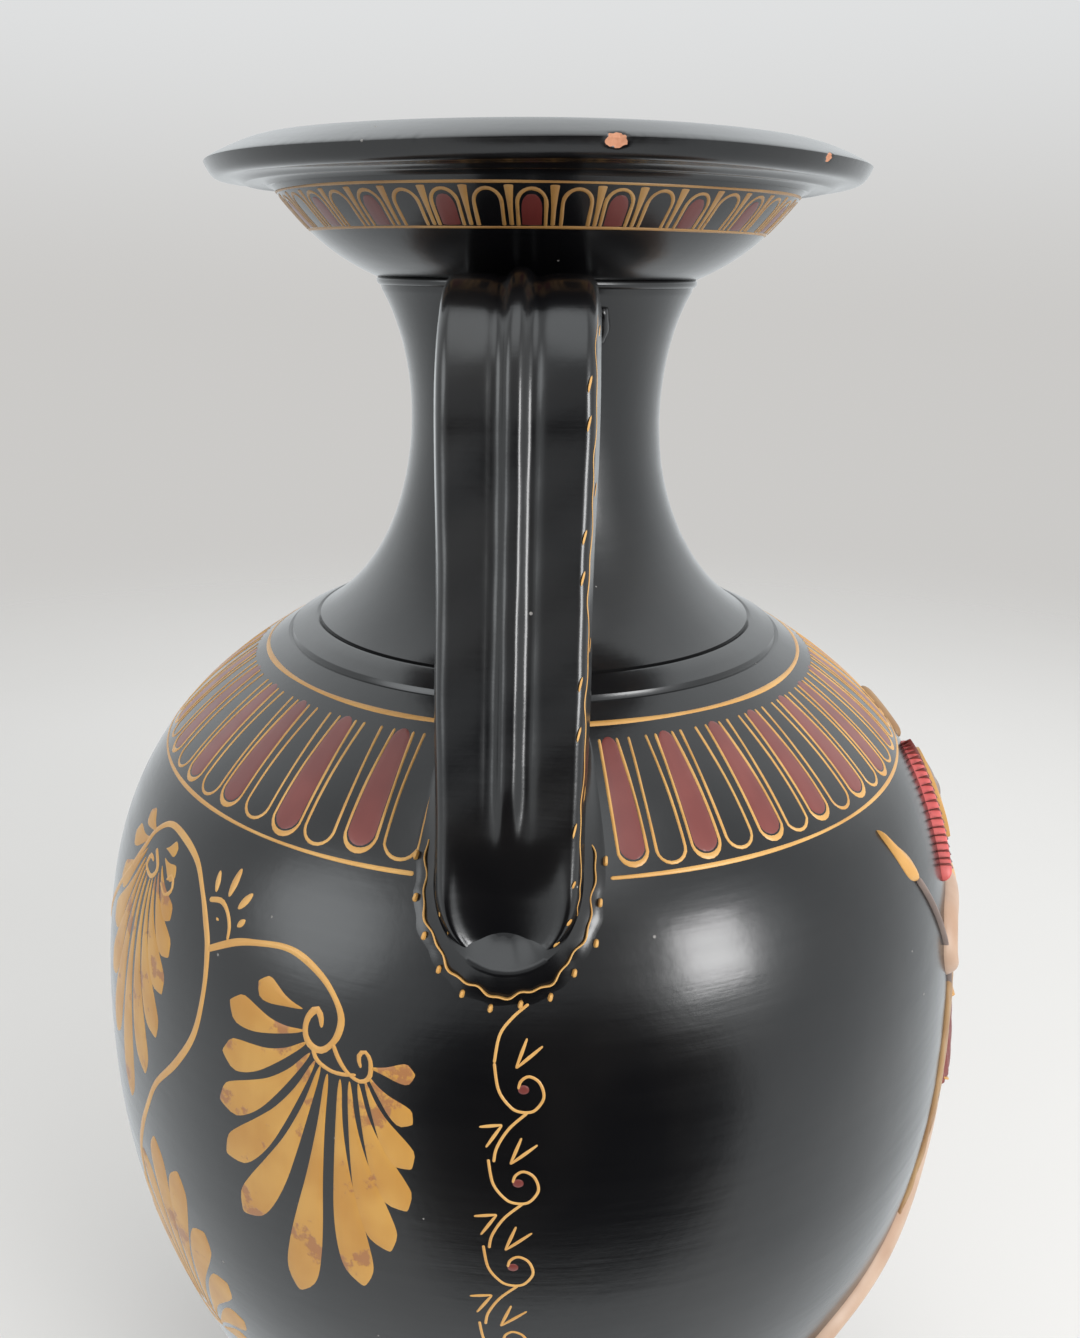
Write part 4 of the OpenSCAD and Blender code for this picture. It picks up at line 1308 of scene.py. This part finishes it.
@dataclass
class Warrior:
    """A relief figure: its direction on the pot and the height of its hips."""

    palette: Palette
    name: str
    turned: float
    hips: float = 220.0

    def where(self, x: np.ndarray, y: np.ndarray) -> tuple:
        """Angle and height on the pot of a point across and up from the hips."""
        z = self.hips + np.asarray(y, float)
        return 90 + self.turned + np.degrees(np.arcsin(np.asarray(x, float) / POT.radius(z))), z

    def limb(self, part: str, rows: list, material: bpy.types.Material, slot: str,
             rise: float = 4.6,
             replaces: bool = True, fullness: float = 2.2, sink: float = 0.5) -> None:
        """A rounded limb, crest or strip along a path of [across, up, width]."""
        name = f"{self.name}_{part}"
        brush = Brush(name, rise)
        path = spline(rows, 7)
        angle, z = self.where(path[:, 0], path[:, 1])
        brush.stroke(np.stack([angle, z, path[:, 2]], -1), steps=2, step=0.9, across=15,
                     fullness=fullness, low=sink)
        brush.clay.piece(material, slot, (name,) if replaces else (), 60.0)

    def trim(self, part: str, strokes: list, material: bpy.types.Material, slot: str,
             lift: float) -> None:
        """Painted or applied fine lines over the relief, as [across, up, width] paths."""
        brush = Brush(f"{self.name}_{part}", 0.5)
        for rows, height in strokes:
            path = spline(rows, 6)
            angle, z = self.where(path[:, 0], path[:, 1])
            brush.stroke(np.stack([angle, z, path[:, 2]], -1), lift=lift + height, steps=2,
                         step=0.8,
                         fullness=3.0, low=0.2)
        brush.clay.piece(material, slot, (), 60.0)

    def patch(self, part: str, outline: list, centre: tuple, material: bpy.types.Material,
              slot: str,
              rise: float, detail: Optional[Callable] = None, power: float = 4.0,
              curved: bool = False) -> None:
        """A domed plate inside an outline, worked out on rings from its centre.

        A point at share p of the way from the centre to the outline rises by (1 - p^power)^(1/2)
        times the rise, plus the detail of its place.

        Args:
            part: Name of the part.
            outline: Closed outline as [across, up].
            centre: A point that sees the whole outline.
            material: Its finish.
            slot: Name of its material slot; not used.
            rise: Height of its middle.
            detail: Gives extra height for arrays of across, up and share.
            power: How flat its top is.
            curved: Whether the outline is smoothed through its points.
        """
        name = f"{self.name}_{part}"
        loop = np.asarray(outline, float)
        closed = np.vstack([loop, loop[:1]])
        if curved:
            ring = np.vstack([loop[-2:], loop, loop[:2]])
            closed = spline(ring, 6)[12:-6]
        run = along(closed)
        s = np.linspace(0, run[-1], 145)[:-1]
        edge = np.stack([np.interp(s, run, closed[:, k]) for k in range(2)], -1)
        share = np.concatenate([np.linspace(0, 0.86, 26),
                                1 - 0.14 * np.cos(np.linspace(0.15, 1, 10) * np.pi / 2)])
        share[-1] = 1.0
        grid = np.asarray(centre, float) + share[:, None,
                                                 None] * (edge[None] - np.asarray(centre, float))
        x, y = grid[..., 0], grid[..., 1]
        p = share[:, None] + 0 * x
        height = rise * np.sqrt(np.maximum(1 - p**power, 0))
        if detail:
            height = height + detail(x, y, p) * np.sqrt(np.maximum(1 - p**6, 0))
        angle, z = self.where(x, y)
        top = POT.place(angle, z, height)
        foot = POT.place(angle[-1:], z[-1:], -0.6)
        base = np.repeat(POT.place(angle[:1], z[:1], -0.6).mean(1, keepdims=True), x.shape[1], 1)
        clay = Clay(name)
        clay.grid(np.concatenate([top, foot, base]))
        clay.piece(material, slot, (name,), 60.0)


def ring_outline(centre: tuple, radius: float, start: float = 0, end: float = 360,
                 count: int = 36) -> list:
    """Points of part of a circle, without the last of a whole one."""
    turn = np.radians(np.linspace(start, end, count, endpoint=end - start < 360))
    return [(centre[0] + radius * np.cos(t), centre[1] + radius * np.sin(t)) for t in turn]


def shield_face(centre: tuple, radius: float) -> Callable:
    """A round shield's relief: a broad rim, a dished field and a low boss.

    The rim is a flat bell at 0.93 of the radius, the groove inside it one at 0.82, and the boss one
    at the middle.
    """
    def detail(x: np.ndarray, y: np.ndarray, p: np.ndarray) -> np.ndarray:
        """Extra height by distance from the shield's middle."""
        far = np.hypot(x - centre[0], y - centre[1]) / radius
        return (0.7 * hump(far, 0.93, 0.05) - 0.9 * hump(far, 0.82,
                                                         0.03) - 0.5 * smooth(1 - far / 0.8)
                + 1.2 * hump(far, 0, 0.14) + 0.3 * hump(far, 0.5, 0.02))
    return detail


def pleats(spacing: float, lean: float, depth: float) -> Callable:
    """Cloth folds: rounded ridges side by side that lean and open downwards."""
    def detail(x: np.ndarray, y: np.ndarray, p: np.ndarray) -> np.ndarray:
        """Extra height as the absolute value of a wave across the cloth."""
        return depth * (np.abs(np.sin((x + lean * y) * np.pi / spacing)) - 0.6)
    return detail


@dataclass
class Relief:
    """The front's two warriors, a lunging attacker and a standing defender, in low relief."""

    palette: Palette

    def attacker(self) -> None:
        """The attacker: crested helmet, shield before him, spear drawn back, cloak behind."""
        p = self.palette
        w = Warrior(p, "attacker", -7.0)
        w.patch("cloak", [(-10, 42), (-20, 39), (-29, 34), (-32, 21), (-34, 8), (-41, -20),
                          (-52, -62),
                          (-47, -59), (-42, -50), (-25, -22), (-8, 6)], (-27, 4), p.olive,
                          "coral_paint",
                1.4, pleats(6.5, 0.25, 0.45), 6.0)
        w.limb("rear_leg", [(-10, -20, 18), (-20, -32, 16), (-30, -44, 12), (-43, -53, 13),
                            (-56, -58, 10.5), (-73, -64, 6.5), (-79, -69, 7.5), (-86, -77, 4)],
               p.flesh, "flesh_paint", 3.3)
        w.limb("front_leg", [(18, -22, 19), (28, -33, 17), (34, -42, 12.5), (33, -52, 13.5),
                             (31, -62, 11), (30.5, -73, 7), (35, -78, 6.5), (46, -79, 4)],
               p.flesh, "flesh_paint", 3.7)
        w.patch("kilt", [(-30, -14), (-17, -22), (-4, -27), (10, -27), (24, -26), (36, -18),
                         (28, -6),
                         (20, 6), (-8, 6), (-19, -4)], (3, -12), p.maroon, "maroon_paint", 3.3,
                pleats(4.6, -0.2, 1.3), 8.0)
        w.patch("torso", [(-8, 6), (20, 6), (25, 20), (27, 38), (26, 51), (6, 53), (-10, 50),
                          (-12, 40),
                          (-11, 24)], (7, 30), p.ochre, "ochre_paint", 3.3, self.cuirass, 5.0)
        w.limb("hair", [(2, 61, 10), (-4, 57, 9.5), (-9, 54, 8.5), (-16, 49, 5)], p.brown,
               "brown_paint", 1.8)
        w.limb("arm", [(-2, 43, 13), (-10, 46, 12.5), (-18, 47, 11), (-26, 47, 9.5), (-31, 46, 9.5),
                       (-36, 39, 8.5), (-34, 33, 7.5), (-29, 30, 9)], p.flesh, "flesh_paint", 3.4)
        w.limb("spear", [(-58.2, 85.8, 0.7), (-56.2, 80, 3.4), (-53.2, 73, 6.2),
                         (-51.4, 68.4, 2.4)],
               p.ochre, "ochre_paint", 1.4, fullness=1.5, sink=0.3)
        w.limb("spear_shaft", [(-51.6, 69, 1.8), (-43, 51, 1.6), (-31.5, 27, 1.6), (-20, 4, 1.6)],
               p.brown, "brown_paint", 1.3, False)
        w.patch("shield", ring_outline((39, 31), 27), (39, 31), p.ochre, "ochre_paint", 4.1,
                shield_face((39, 31), 27), 9.0)
        w.patch("helmet", ring_outline((10, 69.5), 13.5, -15, 215, 20) + [(0, 60), (2, 56),
                                                                          (7, 57.5),
                (10, 56), (14, 50), (20, 53)], (10, 66.5), p.brown, "brown_paint", 3.8,
                self.helmet((10, 69.5), 1), 4.0)
        w.limb("crest", [(5, 87.5, 5.5), (-2, 83, 7), (-10, 75.5, 7), (-18.5, 66, 6),
                         (-27, 56, 3.5)],
               p.coral, "coral_paint", 3.0, fullness=2.0)
        w.limb("knob", [(12, 86.5, 4.5), (16, 90, 6), (19.5, 94.5, 7), (22, 99.5, 5)], p.olive,
               "ochre_paint", 1.8)
        self.attacker_trim(w)

    def attacker_trim(self, w: Warrior) -> None:
        """The attacker's painted detail: hems, crest ribs, helmet edges, star and greave."""
        p = self.palette
        middle = spline([(3, 86.2), (-2, 83), (-10, 75.5), (-18.5, 66), (-25, 58.4)], 5)[1:-1:1]
        way = unit(np.gradient(middle, axis=0))
        side = np.stack([-way[:, 1], way[:, 0]], -1)
        ribs = [([(*(m - 3.2 * n), 0.4), (*(m + 3.2 * n), 0.5)], 0.05) for m,
                n in zip(middle, side)]
        w.trim("crest_ribs", ribs, p.maroon, "maroon_paint", 3.1)
        lines = [([(0, 57, 0.9), (-2.5, 64, 0.9), (-1.5, 73, 0.9), (4, 79.5, 0.9), (13, 81, 0.9),
                   (21, 75, 0.9)], 0.2),
                 ([(-9, 5.5, 2.2), (6, 4.5, 2.2), (21, 5.5, 2.2)], 0.4),
                 ([(-27, -13, 1.1), (-4, -24.5, 1.1), (12, -25, 1.1), (33, -17, 1.1)], 0.2)]
        star = [([(39 + 4 * np.cos(t), 31 + 4 * np.sin(t), 2.6),
                  (39 + 18 * np.cos(t), 31 + 18 * np.sin(t), 0.6)],
                 0.3) for t in np.radians(np.arange(0, 360, 45))]
        w.trim("gold_trim", lines[:1], p.ochre, "ochre_paint", 3.7)
        w.trim("shield_star", star, p.maroon, "maroon_paint", 3.8)
        w.trim("belt_and_hem", lines[1:], p.ochre, "ochre_paint", 3.5)
        greaves = [([(32.6, -50, 8.5), (30.8, -66, 6.5)], 0.2)]
        w.trim("greaves", greaves, p.ochre, "ochre_paint", 3.6)

    def defender(self) -> None:
        """The defender: standing square with a round shield and an upright spear."""
        p = self.palette
        w = Warrior(p, "defender", 34.0)
        w.limb("left_leg", [(-10, -12, 17), (-12, -28, 15), (-14, -42, 11), (-12, -53, 12.5),
                            (-9.5, -66, 9), (-10.5, -76, 7), (-24, -80, 4)], p.flesh, "flesh_paint",
                            3.7)
        w.limb("right_leg", [(12, -12, 17), (15, -28, 15), (17, -42, 11), (18.5, -53, 12.5),
                             (19, -66, 9), (18, -76, 7), (7, -80, 4)], p.flesh, "flesh_paint", 3.7)
        w.patch("kilt", [(-22, -18), (0, -20), (23, -18), (19, -4), (16, 10), (-18, 10), (-20, -4)],
                (0, -5),
                p.coral, "coral_paint", 3.3, pleats(4.4, 0.0, 1.3), 8.0)
        w.limb("spear", [(26.8, 104, 1.0), (26.9, 96, 4.0), (27.2, 89, 6.6), (27.6, 83, 2.5),
                         (29.5, 30, 2.3), (33, -77, 2.3)], p.ochre, "ochre_paint", 1.5)
        w.patch("shield", ring_outline((-2, 28), 27), (-2, 28), p.maroon, "maroon_paint", 4.1,
                shield_face((-2, 28), 27), 9.0)
        w.patch("helmet", ring_outline((-2, 74), 12.5, -35, 195, 20) + [(-14, 66), (-13, 57),
                                                                        (-8, 56),
                (-4, 61), (2, 61), (7, 59)], (-2, 71), p.brown, "brown_paint", 3.8,
                self.helmet((-2, 74), -1), 4.0)
        w.limb("crest", [(-16, 91, 4), (-7, 96, 9), (4, 95, 10.5), (14, 86, 9.5), (19, 72, 7.5),
                         (19, 58, 4)],
               p.ochre, "ochre_paint", 3.7, fullness=3.0)
        star = [([(-2 + 4 * np.cos(t), 28 + 4 * np.sin(t), 2.6),
                  (-2 + 18 * np.cos(t), 28 + 18 * np.sin(t), 0.6)], 0.3)
                for t in np.radians(np.arange(22.5, 382, 45))]
        w.trim("shield_star", star, p.ochre, "ochre_paint", 3.8)
        w.trim("greaves", [([(x, -48, 8.0), (x2, -68, 6.0)], 0.2) for x,
                           x2 in ((-12.6, -9.6), (18, 19))],
               p.ochre, "ochre_paint", 3.6)
        w.trim("hem", [([(-21, -17, 1.1), (0, -18.5, 1.1), (22, -17, 1.1)], 0.2)], p.ochre,
               "ochre_paint", 3.4)
        ribs = [([(a, b, 0.5), (c, d, 0.9)], 0.35) for a, b, c, d in (
            (-11, 90.5, -12, 95.5), (-5, 91, -5, 99), (1, 91, 2, 99), (7, 87.5, 10, 95),
            (12, 82, 17, 87),
            (15, 75.5, 21, 78), (16.5, 68, 22, 69.5), (17.5, 61.5, 21, 62))]
        w.trim("crest_ribs", ribs, p.maroon, "maroon_paint", 3.4)

    @staticmethod
    def cuirass(x: np.ndarray, y: np.ndarray, p: np.ndarray) -> np.ndarray:
        """Chest and waist: two low swells, a line between them and a hollow over the belt."""
        return (0.9 * hump(np.hypot(x - 1, y - 44), 0, 8) + 0.9 * hump(np.hypot(x - 15, y - 44), 0,
                                                                       8)
                - 0.6 * hump(x, 8, 1.2) * smooth((y - 14) / 20) - 0.5 * hump(y, 22, 5)
                + 0.4 * hump(np.hypot(x - 8, y - 27), 0, 6))

    @staticmethod
    def helmet(centre: tuple, faces: int) -> Callable:
        """A closed helmet's relief: a round bowl, an eye slot, a nose guard and a cheek edge."""
        def detail(x: np.ndarray, y: np.ndarray, p: np.ndarray) -> np.ndarray:
            """Extra height about the bowl, cut at the eye."""
            u, v = (x - centre[0]) * faces, y - centre[1]
            eye = hump(np.hypot((u - 6.5) / 4.2, (v + 2.5) / 1.5), 0, 1)
            cheek = hump(u, 4.0, 0.8) * smooth((-v - 4) / 4)
            return 0.9 * hump(np.hypot(u, v - 3), 0, 9) - 2.0 * eye + 0.5 * hump(v, 1.2,
                                                                                 0.8) - 0.9 * cheek
        return detail

    def build(self) -> None:
        """Makes both warriors."""
        self.attacker()
        self.defender()


# ---- The studio --------------------------------------------------------------------------------


@dataclass
class Studio:
    """Floor, surroundings, lamps and camera."""

    lens: float = 40.0
    distance: float = 0.3685
    height: float = 0.450
    tilt: float = 18.6
    roll: float = -0.7
    towards_front: float = 1.9
    aside: float = 0.00216
    room: float = 1.15
    patches: tuple = (
        (-53.0, 19.0, 5.0, 24.0, 3.4), (5.0, 62.0, 10.0, 32.0, 1.5), (52.0, 13.0, 8.0, 26.0, 0.9),
        (132.0, 42.0, 12.0, 42.0, 0.6), (-132.0, 42.0, 12.0, 42.0, 0.6),
        (6.0, 14.0, 12.0, 34.0, -0.45), (-4.0, -22.0, 18.0, 30.0, -0.98),
        (14.0, -20.0, 20.0, 32.0, -0.98),
        (31.0, -24.0, 15.0, 25.0, -0.95))

    def floor(self) -> None:
        """A round pale sheet whose rim fades into the surroundings."""
        turn = np.linspace(0, 2 * np.pi, 96, endpoint=False)[None, :]
        r = np.concatenate([[0.0], np.geomspace(60, 1900, 40)])[:, None]
        points = np.stack([r * np.cos(turn), r * np.sin(turn), 0 * r * turn], -1)
        mesh = bpy.data.meshes.new("floor")
        mesh.from_pydata((points.reshape(-1, 3) * MM).tolist(), [], grid_faces(41, 96).tolist())
        material, nodes, shader = shader_of("pale_floor")
        place = nodes.add("ShaderNodeTexCoord").outputs["Object"]
        far = nodes.add("ShaderNodeVectorMath", {"operation": "LENGTH"}, i0=place).outputs["Value"]
        soft = nodes.noise(place, 3.0, 2.0)
        nodes.tree.links.new(nodes.mix(soft, (0.755, 0.745, 0.725, 1), (0.79, 0.78, 0.765, 1)),
                             shader.inputs["Base Color"])
        shader.inputs["Roughness"].default_value = 0.8
        shader.inputs["Specular IOR Level"].default_value = 0.2
        clear = nodes.add("ShaderNodeBsdfTransparent")
        both = nodes.add("ShaderNodeMixShader", i0=nodes.band(far, 0.75, 1.8), i1=shader.outputs[0],
                         i2=clear.outputs[0])
        end = nodes.tree.nodes["Material Output"]
        nodes.tree.links.new(both.outputs[0], end.inputs["Surface"])
        mesh.materials.append(material)
        floor = bpy.data.objects.new("floor", mesh)
        bpy.context.scene.collection.objects.link(floor)
        floor.visible_glossy = False

    def surroundings(self) -> None:
        """A pale even world for the eye and the floor, and a brighter, patchy one for the glaze.

        What the glaze mirrors is a bright room with a dark stretch low behind the camera; each patch
        adds its strength where the cosine between the way and its middle passes from its outer to
        its inner angle.
        """
        world = bpy.data.worlds.new("studio")
        bpy.context.scene.world = world
        world.use_nodes = True
        nodes = Nodes(world.node_tree)
        for node in list(world.node_tree.nodes):
            world.node_tree.nodes.remove(node)
        way = nodes.add("ShaderNodeTexCoord").outputs["Generated"]
        rise = nodes.add("ShaderNodeSeparateXYZ", Vector=way).outputs
        high = nodes.mix(nodes.band(rise["Z"], -0.05, 0.22), (0.60, 0.59, 0.575, 1),
                         (0.75, 0.76, 0.765, 1))
        room = nodes.maths("ADD", 0.0, self.room)
        for azimuth, height, inner, outer, strength in self.patches:
            a, e = np.radians(azimuth), np.radians(height)
            middle = (-np.cos(a) * np.cos(e), -np.sin(a) * np.cos(e), np.sin(e))
            near = nodes.add("ShaderNodeVectorMath", {"operation": "DOT_PRODUCT"}, i0=way,
                             i1=middle)
            share = nodes.band(near.outputs["Value"], np.cos(np.radians(outer)),
                               np.cos(np.radians(inner)))
            if strength < 0:
                room = nodes.maths("MULTIPLY", room,
                                   nodes.maths("MULTIPLY_ADD", share, strength, 1.0))
            else:
                room = nodes.maths("ADD", room, nodes.maths("MULTIPLY", share, strength))
        tint = nodes.add("ShaderNodeVectorMath", {"operation": "SCALE"}, i0=(0.94, 0.98, 1.0),
                         Scale=room)
        ray = nodes.add("ShaderNodeLightPath").outputs
        seen = nodes.mix(ray["Is Glossy Ray"], high, tint.outputs[0])
        shine = nodes.add("ShaderNodeBackground", Color=seen, Strength=1.0)
        end = nodes.add("ShaderNodeOutputWorld")
        nodes.tree.links.new(shine.outputs[0], end.inputs["Surface"])

    def lamp(self, name: str, azimuth: float, rise: float, far: float, size: tuple, power: float,
             mirrored: bool = False, aim: tuple = (0, 0, 0.3)) -> None:
        """A soft box aimed at the pot.

        Args:
            name: The lamp's name.
            azimuth: Degrees round the pot, 0 at the left handle, growing towards the front.
            rise: Degrees above the pot's middle.
            far: Distance in metres.
            size: Width and height in metres.
            power: Watts.
            mirrored: Whether the glaze mirrors it; the others only light.
            aim: Point it faces.
        """
        light = bpy.data.lights.new(name, "AREA")
        light.shape, light.size, light.size_y = "RECTANGLE", *size
        light.energy = power
        lamp = bpy.data.objects.new(name, light)
        bpy.context.scene.collection.objects.link(lamp)
        a, e = np.radians(azimuth), np.radians(rise)
        offset = Vector((-np.cos(a) * np.cos(e), -np.sin(a) * np.cos(e), np.sin(e))) * far
        lamp.location = Vector(aim) + offset
        lamp.rotation_euler = (-offset).to_track_quat("-Z", "Y").to_euler()
        lamp.visible_camera = False
        lamp.visible_glossy = mirrored

    def camera(self) -> None:
        """The camera, a little above the mouth's height and close to the left handle."""
        data = bpy.data.cameras.new("camera")
        data.lens, data.sensor_width, data.sensor_fit = self.lens, 36.0, "HORIZONTAL"
        camera = bpy.data.objects.new("camera", data)
        bpy.context.scene.collection.objects.link(camera)
        a = np.radians(self.towards_front)
        away = np.array([-np.cos(a), -np.sin(a), 0.0])
        right = np.array([np.sin(a), -np.cos(a), 0.0])
        camera.location = Vector(away * self.distance + right * self.aside + [0, 0, self.height])
        t = np.radians(self.tilt)
        look = Vector(-away * np.cos(t) + np.array([0, 0, -np.sin(t)]))
        camera.rotation_mode = "QUATERNION"
        camera.rotation_quaternion = Quaternion(look, np.radians(self.roll)) @ look.to_track_quat("-Z", "Y")
        data.clip_start, data.clip_end = 0.01, 20
        bpy.context.scene.camera = camera

    def build(self) -> None:
        """Sets everything up."""
        bpy.context.scene.view_settings.view_transform = "Standard"
        self.floor()
        self.surroundings()
        self.lamp("window", 46, 12.5, 1.15, (0.34, 0.38), 6.0, True)
        self.lamp("window_light", 46, 24, 1.6, (0.9, 0.9), 7.0)
        self.lamp("left_fill", -51, 20, 1.3, (0.3, 0.5), 2.0)
        self.lamp("overhead", 100, 78, 1.5, (1.2, 1.2), 6.0)
        self.camera()


def main() -> None:
    """Builds the pot and its studio in order."""
    logging.basicConfig(level=logging.INFO, format="%(message)s")
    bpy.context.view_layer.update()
    palette = Palette()
    for part in (ThrownBody(palette), StrapHandle(palette, Side.LEFT),
                 StrapHandle(palette, Side.RIGHT), TongueBand(palette), ArchBand(palette),
                 PalmetteScroll(palette), HandleVine(palette), LowerLines(palette),
                 Relief(palette), Studio()):
        part.build()
        log.info("built %s", type(part).__name__)
    bpy.context.view_layer.update()


if __name__ == "__main__":
    main()
